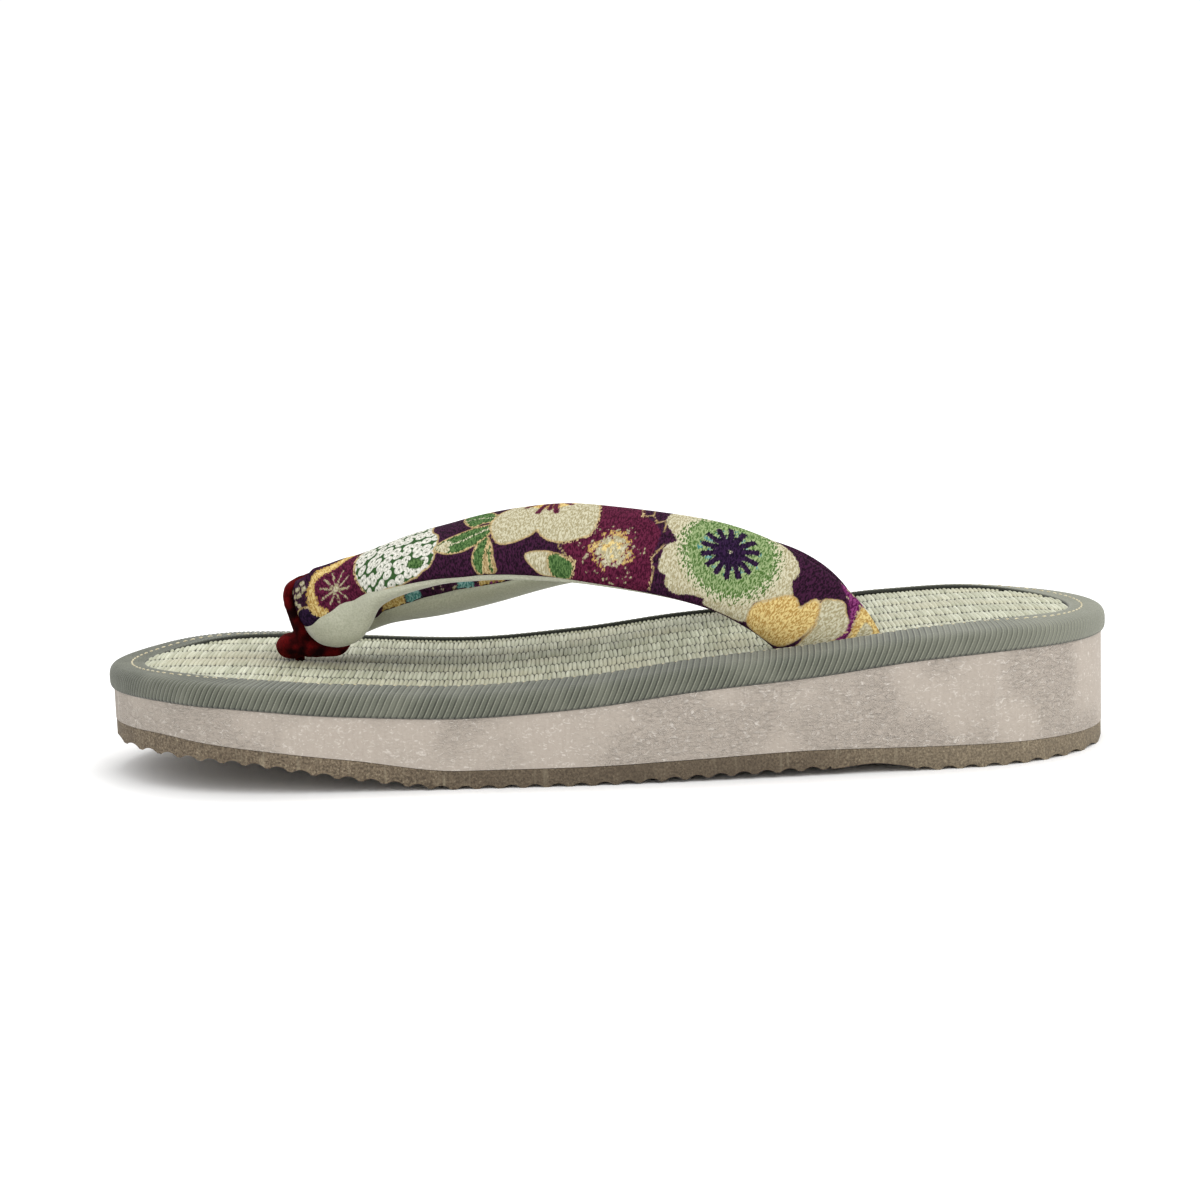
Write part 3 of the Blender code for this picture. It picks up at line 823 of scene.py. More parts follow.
@dataclass
class Last:
    """Outline and side view of the sole, the same as in the CAD model."""

    length: float = 0.230
    half_width: float = 0.0431
    sole_height: float = 0.0307
    braid_high: float = 0.0053
    braid_wide: float = 0.0083
    braid_wall: float = 0.0026
    mat_drop: float = 0.0010
    # how far the mat and the tape's inner edge stand up over the CAD model's, in metres
    domed: tuple[tuple[float, float], ...] = (
        (0.00, 0.0), (0.03, 0.0001), (0.09, 0.0003), (0.17, 0.00065), (0.27, 0.0010), (0.85, 0.0010),
        (0.92, 0.0009), (0.97, 0.0005), (1.00, 0.0002),
    )
    plan: tuple[tuple[float, ...], ...] = (
        (0.00, 1.340), (0.02, 1.400), (0.05, 1.445), (0.09, 1.430), (0.14, 1.335),
        (0.20, 1.218), (0.30, 1.066), (0.40, 1.006), (0.50, 1.000), (0.60, 1.009),
        (0.70, 1.043), (0.80, 1.143), (0.90, 1.342), (0.95, 1.430), (1.00, 1.530),
    )
    layers: tuple[tuple[float, ...], ...] = (
        (0.00, 0.626, 0.392), (0.06, 0.647, 0.409), (0.14, 0.620, 0.345), (0.25, 0.547, 0.240),
        (0.36, 0.507, 0.133), (0.47, 0.551, 0.136), (0.58, 0.644, 0.162), (0.69, 0.708, 0.187),
        (0.80, 0.795, 0.172), (0.90, 0.828, 0.160), (1.00, 0.822, 0.138),
    )
    crests: tuple[tuple[float, ...], ...] = (
        (0.000, 0.254), (0.060, 0.257), (0.140, 0.227), (0.250, 0.100), (0.290, 0.055),
        (0.330, 0.014), (0.355, 0.000), (0.475, 0.000), (0.540, 0.015), (0.600, 0.031),
        (0.660, 0.041), (0.705, 0.048), (0.745, 0.073), (0.775, 0.045), (0.800, 0.000), (1.000, 0.000),
    )

    def share(self, x: Array) -> Array:
        """Share of the length from the toe tip."""
        return np.clip(np.asarray(x) / self.length + 0.5, 0.0, 1.0)

    def braid_foot(self, x: Array) -> Array:
        """Height of the braid's lower edge."""
        return self.sole_height * column(self.layers, 1, self.share(x))

    def wedge_foot(self, x: Array) -> Array:
        """Height of the line between tread and wedge."""
        return self.sole_height * column(self.layers, 2, self.share(x))

    def mat_top(self, x: Array) -> Array:
        """Height of the woven mat in the CAD model, which the strap's places count from."""
        return self.braid_foot(x) + self.braid_high - self.mat_drop

    def dome(self, x: Array) -> Array:
        """How far the dressed mat stands over the CAD model's at x."""
        return column(self.domed, 1, self.share(x))

    def mat_face(self, x: Array) -> Array:
        """Height of the dressed mat."""
        return self.mat_top(x) + 0.95 * self.dome(x)

    def crest(self, x: Array) -> Array:
        """Height of the tread's lowest line."""
        return self.sole_height * column(self.crests, 1, self.share(x))

    def outline(self, turn: Array, inset: Array | float = 0.0) -> Array:
        """Points of the edge, moved inwards.

        Args:
            turn: 0 at the toe tip, pi at the heel by the far side, on to 2 pi by the near side.
            inset: How far inwards, in metres.

        Returns:
            Rows of x and y.
        """
        def at(angle: Array) -> Array:
            """The outer edge itself."""
            wide = self.half_width * column(self.plan, 1, (1 - np.cos(angle)) / 2)
            return np.stack([-self.length / 2 * np.cos(angle), wide * np.sin(angle)], axis=-1)

        ahead = at(turn + 1e-4) - at(turn - 1e-4)
        ahead /= np.linalg.norm(ahead, axis=-1, keepdims=True)
        inwards = np.stack([ahead[..., 1], -ahead[..., 0]], axis=-1)
        return at(turn) + inwards * np.expand_dims(np.broadcast_to(inset, np.shape(turn)), -1)

    def half_width_at(self, x: Array, inset: float) -> Array:
        """Half the width of the edge moved inwards, at each x."""
        rim = self.outline(np.linspace(0, math.pi, 1601), inset)
        return np.interp(x, rim[:, 0], np.maximum(rim[:, 1], 0.0), left=0.0, right=0.0)

    def length_round(self) -> tuple[Array, Array]:
        """Turns and the length round the edge up to each of them.

        Returns:
            The turns, from 0 to 2 pi, and the lengths in metres.
        """
        turns = np.linspace(0, 2 * math.pi, 6001)
        rim = self.outline(turns)
        return turns, np.concatenate([[0], np.cumsum(np.linalg.norm(np.diff(rim, axis=0), axis=1))])


@dataclass
class Slab:
    """A layer of the sole: a sheet shaped to its underside and extruded up to the layer above."""

    last: Last
    name: str
    inset: float
    round_over: float = 0.0003

    def build(
        self, places: Array, across: int, low: Callable, high: Callable, soft: bool = True
    ) -> Piece:
        """Models the layer.

        Args:
            places: The x of each row of points, rising.
            across: Squares from side to side.
            low: Height of the underside at x.
            high: Height of the top at x.
            soft: Whether the rim's edges are rounded.

        Returns:
            The closed layer.
        """
        thing = add_cloth(self.name, len(places) - 1, across)
        row, col = squares_of(thing, len(places) - 1, across)
        x = places[row]
        y = (2 * col / across - 1) * self.last.half_width_at(x, self.inset)
        move_points(thing, np.stack([x, y, low(x)], axis=1))
        select_only(thing)
        bpy.ops.object.mode_set(mode="EDIT")
        bpy.ops.mesh.select_all(action="SELECT")
        bpy.ops.mesh.extrude_region_move(TRANSFORM_OT_translate={"value": (0, 0, 1.0)})
        bpy.ops.object.mode_set(mode="OBJECT")
        points = points_of(thing)
        raised = points[:, 2] > 0.5
        points[raised, 2] = high(points[raised, 0])
        move_points(thing, points)
        close_up(thing)
        if soft:
            self.round_rim(thing)
        smooth_shading(thing, 35.0)
        return thing

    def round_rim(self, thing: Piece) -> None:
        """Rounds the edges where the wall meets the top and the underside.

        Args:
            thing: The closed layer.
        """
        select_only(thing)
        bpy.ops.object.mode_set(mode="EDIT")
        bpy.ops.mesh.select_mode(type="EDGE")
        bpy.ops.mesh.select_all(action="DESELECT")
        bpy.ops.mesh.edges_select_sharp(sharpness=math.radians(60))
        bpy.ops.mesh.bevel(offset=self.round_over, segments=3, affect="EDGES", clamp_overlap=True)
        bpy.ops.object.mode_set(mode="OBJECT")


@dataclass
class Tread:
    """Foam rubber outsole with ripples across its underside, an arch and a lifted toe."""

    last: Last
    inset: float = 0.0010
    pitch: float = 0.0050
    land: float = 0.0010
    depth: float = 0.0008
    plain: tuple[float, float] = (0.705, 0.785)
    steps: int = 9
    tip_rows: tuple[float, ...] = (0.0, 0.0001, 0.0003, 0.0006, 0.001, 0.0016, 0.0023)
    finish: FoamRubber = field(default_factory=FoamRubber)

    def groove(self, x: Array) -> Array:
        """Depth of the ripples at x: none on a land, at the arch and at the tips.

        Args:
            x: Places along the sandal.

        Returns:
            Depths in metres.
        """
        place = (x + self.last.length / 2) % self.pitch - self.land
        wide = self.pitch - self.land
        deep = self.depth * (1 - (2 * place / wide - 1) ** 2)
        share = self.last.share(x)
        plain = (share > self.plain[0]) & (share < self.plain[1])
        return np.where((place <= 0) | plain, 0.0, deep)

    def build(self) -> Piece:
        """Models and dresses the tread.

        Returns:
            The tread.
        """
        tip = self.last.length / 2 - self.inset
        starts = -self.last.length / 2 + self.pitch * np.arange(round(self.last.length / self.pitch))
        groove = np.linspace(self.land, self.pitch, self.steps, endpoint=False)
        inside = np.concatenate([starts, *(starts + g for g in groove)])
        ends = tip - np.array(self.tip_rows)
        places = np.unique(np.round(np.concatenate([inside, ends, -ends]), 6))
        places = places[np.abs(places) <= tip + 1e-9]
        low = lambda x: self.last.crest(x) + self.groove(x)  # noqa: E731
        high = lambda x: self.last.wedge_foot(x) - GLUE_GAP  # noqa: E731
        slab = Slab(self.last, "tread", self.inset, 0.0002)
        thing = slab.build(places, 14, low, high)
        thing.data.materials.append(self.finish.make())
        return finish_piece(thing, ["outsole"])


@dataclass
class Wedge:
    """Cream foam wedge between tread and mat, with pockets for the strap's ends and the post."""

    last: Last
    inset: float = 0.0009
    finish: EvaFoam = field(default_factory=EvaFoam)

    def build(self, cutters: Sequence[Piece]) -> Piece:
        """Models and dresses the wedge.

        Args:
            cutters: What is taken out of it.

        Returns:
            The wedge.
        """
        tip = self.last.length / 2 - self.inset
        places = -tip * np.cos(np.linspace(0, math.pi, 181))
        low = lambda x: self.last.wedge_foot(x) + GLUE_GAP  # noqa: E731
        high = lambda x: self.last.braid_foot(x) - 2 * GLUE_GAP  # noqa: E731
        thing = Slab(self.last, "wedge", self.inset, 0.0004).build(places, 20, low, high)
        for cutter in cutters:
            apply_modifier(thing, "BOOLEAN", operation="DIFFERENCE", solver="EXACT", object=cutter)
        close_up(thing, within=4e-6)
        smooth_shading(thing, 35.0)
        thing.data.materials.append(self.finish.make())
        return finish_piece(thing, ["midsole"])


@dataclass
class EdgeBraid:
    """Ribbed tape folded over the edge of the mat: a rounded wall and a flap that rises to its inner edge."""

    last: Last
    flap: float = 0.0008
    slope: float = 0.0004
    rib_side: float = 0.00140
    rib_end: float = 0.00110
    lean: float = 0.45
    lean_flap: float = 0.16
    fold: float = 0.0052
    fold_soft: float = 0.0009
    relief: float = 0.00028
    rib_round: float = 0.7
    lip_fade: float = 0.0012
    foot_fade: float = 0.0004
    gap_shade_wide: float = 0.0003
    seam_high: float = 0.0005
    along: int = 2800
    across: int = 31
    # inset, and how far the tape lies over the CAD model's there, as a share of the mat's dome
    lift: tuple[tuple[float, float], ...] = (
        (0.0, -0.20), (0.0007, -0.35), (0.0014, -0.30), (0.0022, -0.10), (0.0040, 0.35), (0.0060, 0.75),
        (0.0080, 1.15), (0.0090, 1.15),
    )
    finish: RibbedBraid = field(default_factory=RibbedBraid)

    def section(self) -> Array:
        """Closed section of the tape as inset and height over its foot, outer foot first.

        Returns:
            Rows of inset and height.
        """
        high, wide, wall = self.last.braid_high, self.last.braid_wide, self.last.braid_wall
        inner = high - self.slope
        outer = [(0.0007, 0.0), (0.00025, 0.0003), (0.00005, 0.0009), (0.0, 0.0018), (0.0, 0.0030)]
        top = [(0.0002, 0.0040), (0.0007, 0.0048), (0.0014, 0.0052), (0.0022, high), (0.0040, high - 0.0001)]
        lip = [(0.0060, high - 0.0002), (wide - 0.0003, inner), (wide, inner - 0.0003), (wide, inner - self.flap)]
        under = [(wall + 0.0004, high - 0.0012), (wall, high - 0.0016), (wall, 0.0)]
        return np.array(outer + top + lip + under)

    def raised(self, inset: Array, up: Array, x: Array) -> Array:
        """Height of a section's point once the flap is lifted with the mat at x."""
        keys, shares = zip(*self.lift)
        return up + np.interp(inset, keys, shares) * self.last.dome(x) * np.clip(up / 0.003, 0, 1)

    def face(self, inset: float, x: Array) -> Array:
        """Height of the flap's face over the tape's foot, at an inset.

        Args:
            inset: Insets from the sole's edge.
            x: Places along the sandal.

        Returns:
            Heights in metres.
        """
        top = self.section()[4:12]
        inset = np.asarray(inset, float)
        return self.raised(inset, np.interp(inset, top[:, 0], top[:, 1]), x)

    def build(self) -> Piece:
        """Models and dresses the braid.

        Returns:
            The braid.
        """
        turns, lengths = self.last.length_round()
        corners = self.section()
        shown = 13  # corners up to the lip's lower edge, which the ribs cover
        reach = np.concatenate([[0], np.cumsum(np.linalg.norm(np.diff(corners, axis=0), axis=1))])
        outside = np.linspace(0, reach[shown], self.across)
        inside = np.array([reach[14], reach[15], reach[16], reach[16] + wall_foot(corners)])
        stops = np.concatenate([outside, inside])
        closed = np.vstack([corners, corners[:1]])
        reach = np.append(reach, reach[16] + wall_foot(corners))
        thing = add_cloth("edge_braid", self.along, len(stops) - 1)
        place, col = squares_of(thing, self.along, len(stops) - 1)
        row, s = stops[col], place / self.along * lengths[-1]
        turn = np.interp(s, lengths, turns)
        inset, up = np.interp(row, reach, closed[:, 0]), np.interp(row, reach, closed[:, 1])
        phase = 2 * math.pi * self.rib(s, row, turns, lengths)
        rib = np.abs(np.sin(phase / 2)) ** self.rib_round
        body = np.clip((reach[shown - 1] - row) / self.lip_fade, 0, 1) * np.clip(row / self.foot_fade, 0, 1)
        body = np.where(row > reach[shown], 0.0, body)
        lift = self.relief * (rib - 1.0) * body
        slope_in, slope_up = self.normals(row, reach, closed)
        outer = self.last.outline(turn)[:, 0]
        up = self.raised(inset, up, outer) + lift * slope_up
        rim = self.last.outline(turn, inset - lift * slope_in)
        move_points(thing, np.column_stack([rim, self.last.braid_foot(outer) + up]))
        paint(thing, "rib_sine", -np.sin(phase))
        paint(thing, "rib_cosine", -np.cos(phase))
        # the foot's dark seam line, darker where the rib valleys meet it as painted shade; by the lip, painted shade in
        # the gap under the flap's edge
        seam = np.clip((self.seam_high + self.foot_fade - row) / self.foot_fade, 0, 1)
        seam *= 0.50 + 0.25 * np.cos(phase)
        lip = np.clip((row - reach[shown - 2] - 0.0001) / self.gap_shade_wide, 0, 1)
        paint(thing, "seam_and_gap_shade", np.maximum(seam, lip))
        shares = np.linspace(0, 1, len(stops))
        write_cloth(thing, lambda u, v: (u * lengths[-1], np.interp(v, shares, stops)))
        close_up(thing)
        smooth_shading(thing, 50.0)
        thing.data.materials.append(self.finish.make())
        return finish_piece(thing, ["binding"])

    def rib(self, s: Array, row: Array, turns: Array, lengths: Array) -> Array:
        """Number of the rib at length s and place row of the tape, whole in a valley.

        Args:
            s: Length round the edge.
            row: Length across the tape from its foot.
            turns: Turns of the outline.
            lengths: Length round the edge at each turn.

        Returns:
            The rib's number, with its fraction.
        """
        blunt = np.abs(np.cos(turns)) ** 3
        pitch = self.rib_side + (self.rib_end - self.rib_side) * blunt
        count = np.concatenate([[0], np.cumsum(np.diff(lengths) / (0.5 * (pitch[1:] + pitch[:-1])))])
        count *= round(count[-1]) / count[-1]
        past = self.fold_soft * np.log1p(np.exp((row - self.fold) / self.fold_soft))
        along = self.lean * (row - past) + self.lean_flap * past
        return np.interp(s, lengths, count) + along / np.interp(s, lengths, pitch)

    def normals(self, row: Array, reach: Array, closed: Array) -> tuple[Array, Array]:
        """Outward direction of the section at each place: share outwards and share up.

        Args:
            row: Length across the tape from its foot.
            reach: Length at each corner of the section.
            closed: The section, closed.

        Returns:
            The share outwards and the share upwards.
        """
        step = 1e-5
        ahead_in = np.interp(row + step, reach, closed[:, 0]) - np.interp(row - step, reach, closed[:, 0])
        ahead_up = np.interp(row + step, reach, closed[:, 1]) - np.interp(row - step, reach, closed[:, 1])
        size = np.maximum(np.hypot(ahead_in, ahead_up), 1e-9)
        return ahead_up / size, ahead_in / size


def wall_foot(corners: Array) -> float:
    """Length of the section's closing side."""
    return float(np.linalg.norm(corners[-1] - corners[0]))


def write_cloth(thing: Piece, place: Callable) -> None:
    """Turns the cloth's own map, in shares, into one in metres.

    Args:
        thing: A piece made by add_cloth.
        place: Takes the shares along and across and gives metres along and across.
    """
    layer = thing.data.uv_layers[0]
    layer.name = "cloth"
    flat = np.empty(len(layer.data) * 2)
    layer.data.foreach_get("uv", flat)
    u, v = place(flat[0::2], flat[1::2])
    layer.data.foreach_set("uv", np.stack([u, v], axis=1).astype(np.float32).reshape(-1))


def finish_piece(thing: Piece, nodes: Sequence[str]) -> Piece:
    """Hangs a piece on the frame's root and hides the CAD solids that it stands for.

    Args:
        thing: The finished piece.
        nodes: The solids that it stands for.

    Returns:
        The piece.
    """
    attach(thing, "root")
    if nodes:
        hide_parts(*nodes)
    return thing


@dataclass
class EdgeStitches:
    """Running stitch that holds the tape's flap down."""

    last: Last
    braid: EdgeBraid
    inset: float = 0.0052
    inset_side: float = 0.0078
    pitch: float = 0.0028
    long: float = 0.0019
    thick: float = 0.00050
    sunk: float = 0.00008
    sunk_side: float = 0.00016
    # share of the half length where the sides go over into the rounded ends
    sides: tuple[float, float] = (0.72, 0.88)
    finish: SewingThread = field(default_factory=SewingThread)

    def stitch(self) -> Piece:
        """Models one stitch: a slim grain whose ends dip into the tape.

        Returns:
            The stitch, centred on the origin.
        """
        bpy.ops.object.select_all(action="DESELECT")
        bpy.ops.mesh.primitive_uv_sphere_add(segments=8, ring_count=7, radius=0.5)
        thing = name_piece(bpy.context.object, "stitch")
        points = points_of(thing)
        sized = points * (self.long, self.thick, self.thick)
        sized[:, 2] -= 0.6 * self.thick * (2 * points[:, 0]) ** 4
        move_points(thing, sized)
        return thing

    def build(self) -> Piece:
        """Models and dresses the row of stitches.

        Returns:
            The row of stitches.
        """
        turns, lengths = self.last.length_round()
        count = round(lengths[-1] / self.pitch)
        turn = np.interp((np.arange(count) + 0.5) / count * lengths[-1], lengths, turns)
        start, end = self.sides
        at_side = 1 - np.clip((np.abs(np.cos(turn)) - start) / (end - start), 0, 1)
        inset = self.inset + (self.inset_side - self.inset) * at_side
        rim = self.last.outline(turn, inset)
        ahead = self.last.outline(turn + 1e-3, inset) - rim
        outer = self.last.outline(turn)[:, 0]
        height = self.last.braid_foot(outer) + self.braid.face(inset, outer) - self.sunk - self.sunk_side * at_side
        rise = self.last.braid_foot(self.last.outline(turn + 1e-3)[:, 0]) - self.last.braid_foot(outer)
        frames = []
        for (x, y), z, (dx, dy), dz in zip(rim, height, ahead, rise):
            run = Vector((dx, dy, dz)).normalized()
            side = Vector((0, 0, 1)).cross(run).normalized()
            up = run.cross(side)
            frames.append(Matrix((run, side, up)).transposed().to_4x4())
            frames[-1].translation = (x, y, z)
        thing = scatter(self.stitch(), [np.array(m) for m in frames], "edge_stitches")
        thing.data.materials.append(self.finish.make())
        return finish_piece(thing, [])


# ---- strap ----

ArmTable = tuple[tuple[float, ...], ...]

# along, out, up, width, thickness, lean of the wide side in degrees, all but the last as shares
NEAR_ARM: ArmTable = (
    (0.000, 0.000, 0.418, 0.79, 0.72, 111), (0.013, 0.148, 0.438, 0.87, 0.72, 105),
    (0.046, 0.207, 0.493, 0.99, 0.72, 90), (0.080, 0.220, 0.620, 0.86, 0.82, 66),
    (0.110, 0.235, 0.705, 0.84, 0.91, 44), (0.170, 0.300, 0.822, 0.98, 1.00, 27),
    (0.250, 0.375, 0.930, 1.03, 1.03, 25), (0.330, 0.455, 0.990, 1.03, 1.03, 32),
    (0.410, 0.530, 1.010, 1.03, 1.03, 39), (0.490, 0.605, 0.996, 1.03, 1.03, 46),
    (0.580, 0.695, 0.928, 1.02, 1.02, 49), (0.670, 0.780, 0.830, 1.02, 1.02, 52),
    (0.760, 0.850, 0.720, 1.02, 1.02, 57), (0.830, 0.905, 0.605, 1.01, 1.01, 63),
    (0.890, 0.940, 0.463, 1.01, 1.00, 71), (0.940, 0.962, 0.312, 1.03, 0.98, 79),
    (0.982, 0.970, 0.130, 1.06, 0.95, 85), (1.008, 0.970, -0.050, 1.08, 0.94, 88),
    (1.030, 0.970, -0.270, 1.08, 0.94, 88),
)
FAR_ARM: ArmTable = (
    (0.000, 0.000, 0.418, 0.79, 0.72, 111), (0.013, 0.148, 0.418, 0.74, 0.72, 105),
    (0.046, 0.207, 0.405, 0.76, 0.72, 84), (0.085, 0.225, 0.405, 0.80, 0.82, 48),
    (0.145, 0.262, 0.466, 0.92, 0.95, 16), (0.190, 0.305, 0.497, 0.98, 1.02, 12),
    (0.240, 0.355, 0.528, 1.03, 1.06, 12), (0.335, 0.447, 0.592, 1.03, 1.06, 13),
    (0.440, 0.550, 0.663, 1.02, 1.04, 18), (0.535, 0.640, 0.703, 1.00, 1.00, 26),
    (0.630, 0.730, 0.684, 1.00, 1.00, 35), (0.715, 0.810, 0.612, 1.00, 1.00, 44),
    (0.790, 0.870, 0.520, 1.00, 1.00, 52), (0.865, 0.925, 0.395, 1.00, 1.00, 62),
    (0.925, 0.953, 0.290, 1.00, 0.98, 71), (0.965, 0.966, 0.190, 1.02, 0.96, 79),
    (0.998, 0.970, 0.080, 1.04, 0.95, 85), (1.020, 0.970, -0.050, 1.06, 0.94, 88),
    (1.038, 0.970, -0.270, 1.06, 0.94, 88),
)


@dataclass
class Band:
    """The strap's path and section: rows of places, width, thickness, lean, and the frame at each."""

    place: Array
    wide: Array
    thick: Array
    tilt: Array

    def frames(self) -> tuple[Array, Array, Array]:
        """Direction ahead and the section's long and short axes, at each row.

        Returns:
            Three arrays of unit vectors, a row each.
        """
        ahead = unit(np.gradient(self.place, axis=0))
        out = unit(np.stack([-ahead[:, 1], ahead[:, 0], np.zeros(len(ahead))], axis=1))
        up = unit(np.cross(ahead, out))
        cos, sin = np.cos(self.tilt)[:, None], np.sin(self.tilt)[:, None]
        return ahead, out * cos - up * sin, out * sin + up * cos

    def take(self, rows: Array) -> "Band":
        """The band with only these rows."""
        return Band(self.place[rows], self.wide[rows], self.thick[rows], self.tilt[rows])


@dataclass
class Strap:
    """The upper: one padded band, printed crepe outside and flannel inside, its ends let into the sole."""

    last: Last
    nose_share: float = 0.2096
    reach: float = 0.1158
    spread: float = 0.654 * 0.0431
    rise: float = 0.0294
    wide: float = 0.0200
    thick: float = 0.0090
    step: float = 0.00046
    table_step: float = 0.0034
    nose_step: float = 0.4
    seam_dip: float = 0.05
    # length from the nose over which the padding comes up, and over which it ends before the slot
    padded_from: tuple[float, float] = (0.010, 0.016)
    padded_to: tuple[float, float] = (0.108, 0.118)
    slot_play: float = 0.0005
    slot_high: float = 0.42
    past_end: float = 0.0010
    mat_play: float = 0.0004
    print_squares: int = 58
    lining_squares: int = 34
    # along the near arm as a share of its reach, then how far the lower seam is turned up, in degrees
    seam_near: tuple[tuple[float, float], ...] = (
        (-0.30, 30.0), (0.00, 70.0), (0.032, 73.0), (0.056, 84.0), (0.083, 85.0), (0.099, 80.0), (0.115, 70.0),
        (0.131, 61.0), (0.151, 46.0), (0.167, 35.0), (0.203, 15.0), (0.238, 7.0), (0.27, 2.0), (0.30, -3.0),
        (0.34, -7.0), (0.37, -5.0), (0.41, 0.0), (0.53, 2.0), (0.65, -6.0), (0.80, -10.0), (1.10, -10.0),
    )
    # length from the nose in metres, then how far the print is turned over the upper seam, in degrees
    seam_upper: tuple[tuple[float, float], ...] = (
        (-0.140, 35.0), (-0.060, 28.0), (-0.0455, 15.0), (-0.042, 10.0), (-0.0377, 5.0), (-0.0345, 2.0),
        (-0.0304, 4.0), (-0.0267, 6.0), (-0.0239, 14.0), (-0.0216, 21.0), (-0.0179, 45.0), (-0.0156, 76.0),
        (-0.012, 80.0), (-0.005, 30.0), (0.002, 0.0), (0.140, 0.0),
    )
    plump: float = 0.00030
    snug: float = 0.00155  # how much further the nose reaches into the velvet loop than in the CAD model
    crepe: PrintedCrepe = field(default_factory=PrintedCrepe)
    flannel: Flannel = field(default_factory=Flannel)

    @property
    def nose(self) -> float:
        """The x where the strap turns round."""
        return (self.nose_share - 0.5) * self.last.length

    def rows(self, table: ArmTable, side: Side) -> Array:
        """An arm's table in metres and radians: place, width, thickness, lean.

        Args:
            table: The arm's table of shares.
            side: Which arm.

        Returns:
            Rows of x, y, z, width, thickness and lean.
        """
        t = np.array(table)
        x = self.nose + t[:, 0] * self.reach
        y = side.value * t[:, 1] * self.spread
        z = self.last.mat_top(x) + t[:, 2] * self.rise
        return np.stack([x, y, z, t[:, 3] * self.wide, t[:, 4] * self.thick, np.radians(t[:, 5])], axis=1)

    def coarse(self) -> Array:
        """The band's rows as the CAD model has them, from the near arm's end to the far arm's.

        Returns:
            Rows of x, y, z, width, thickness and lean.
        """
        near, far = self.rows(NEAR_ARM, Side.NEAR), self.rows(FAR_ARM, Side.FAR)
        rows = np.vstack([near[::-1], far[1:]])
        gaps = np.linalg.norm(np.diff(rows[:, :3], axis=0), axis=1)
        keys, samples = np.concatenate([[0], np.cumsum(gaps)]), []
        for i, gap in enumerate(gaps):
            tight = min(abs(rows[i, 1]), abs(rows[i + 1, 1])) < 0.2 * self.spread
            steps = max(1, round(gap / (self.nose_step * self.table_step if tight else self.table_step)))
            samples += [keys[i] + gap * k / steps for k in range(steps)]
        samples.append(keys[-1])
        out = np.stack([curve_through(keys, rows[:, k], samples) for k in range(6)], axis=1)
        for _ in range(2):
            out[1:-1, :3] = out[1:-1, :3] * 0.5 + (out[:-2, :3] + out[2:, :3]) * 0.25
        return out

    def band(self, step: float) -> tuple[Band, Array]:
        """The band at even steps.

        Args:
            step: Length between rows, in metres.

        Returns:
            The band, and each row's length from the nose, positive on the near arm.
        """
        rows = self.coarse()
        keys = np.concatenate([[0], np.cumsum(np.linalg.norm(np.diff(rows[:, :3], axis=0), axis=1))])
        at = np.linspace(0, keys[-1], round(keys[-1] / step) + 1)
        fine = np.stack([curve_through(keys, rows[:, k], at) for k in range(6)], axis=1)
        for _ in range(6):
            fine[1:-1] = fine[1:-1] * 0.5 + (fine[:-2] + fine[2:]) * 0.25
        nose = at[np.argmin(np.abs(fine[:, 1]) + (fine[:, 0] > self.nose + 0.02))]
        fine[:, 0] -= self.snug * np.exp(-(((nose - at) / 0.009) ** 2))
        return Band(fine[:, :3], fine[:, 3], fine[:, 4], fine[:, 5]), nose - at

    def seam(self, length: Array) -> Array:
        """Turn of the lower seam in radians, at a length from the nose.

        Args:
            length: Lengths from the nose, positive on the near arm.

        Returns:
            The turns.
        """
        keys = [row[0] for row in self.seam_near]
        degrees = curve_through(keys, [row[1] for row in self.seam_near], length / self.reach)
        far = curve_through([-1.3, -0.5, -0.2, -0.05, 0.0], [-10.0, 0.0, 5.0, 30.0, 70.0], length / self.reach)
        return np.radians(np.where(length >= 0, degrees, far))

    def upper(self, length: Array) -> Array:
        """Turn of the upper seam in radians, at a length from the nose."""
        return math.pi + np.radians(column(self.seam_upper, 1, length))

    def turns(self, seams: tuple[Array, Array], v: Array) -> Array:
        """Turn round the section for shares of the cloth.

        Args:
            seams: Turn of the upper and of the lower seam.
            v: Share of the cloth: the print from the upper seam to the lower one, then the lining.

        Returns:
            The turns in radians.
        """
        upper, lower = seams
        split = self.print_squares / (self.print_squares + self.lining_squares)
        printed = np.clip(v / split, 0, 1)
        lined = np.clip((v - split) / (1 - split), 0, 1)
        return upper + (lower - upper) * printed + (upper - 2 * math.pi - lower) * lined

    def build(self) -> Piece:
        """Models and dresses the strap.

        Returns:
            The strap.
        """
        band, length = self.band(self.step)
        squares = self.print_squares + self.lining_squares
        thing = add_cloth("strap_band", len(length) - 1, squares)
        row, col = squares_of(thing, len(length) - 1, squares)

        def on_cloth(u: Array, v: Array) -> tuple[Array, Array]:
            """Metres along and across the cloth at shares of it."""
            at = np.rint(u * (len(length) - 1)).astype(int)
            return length[at], cloth[at, np.rint(v * squares).astype(int)]

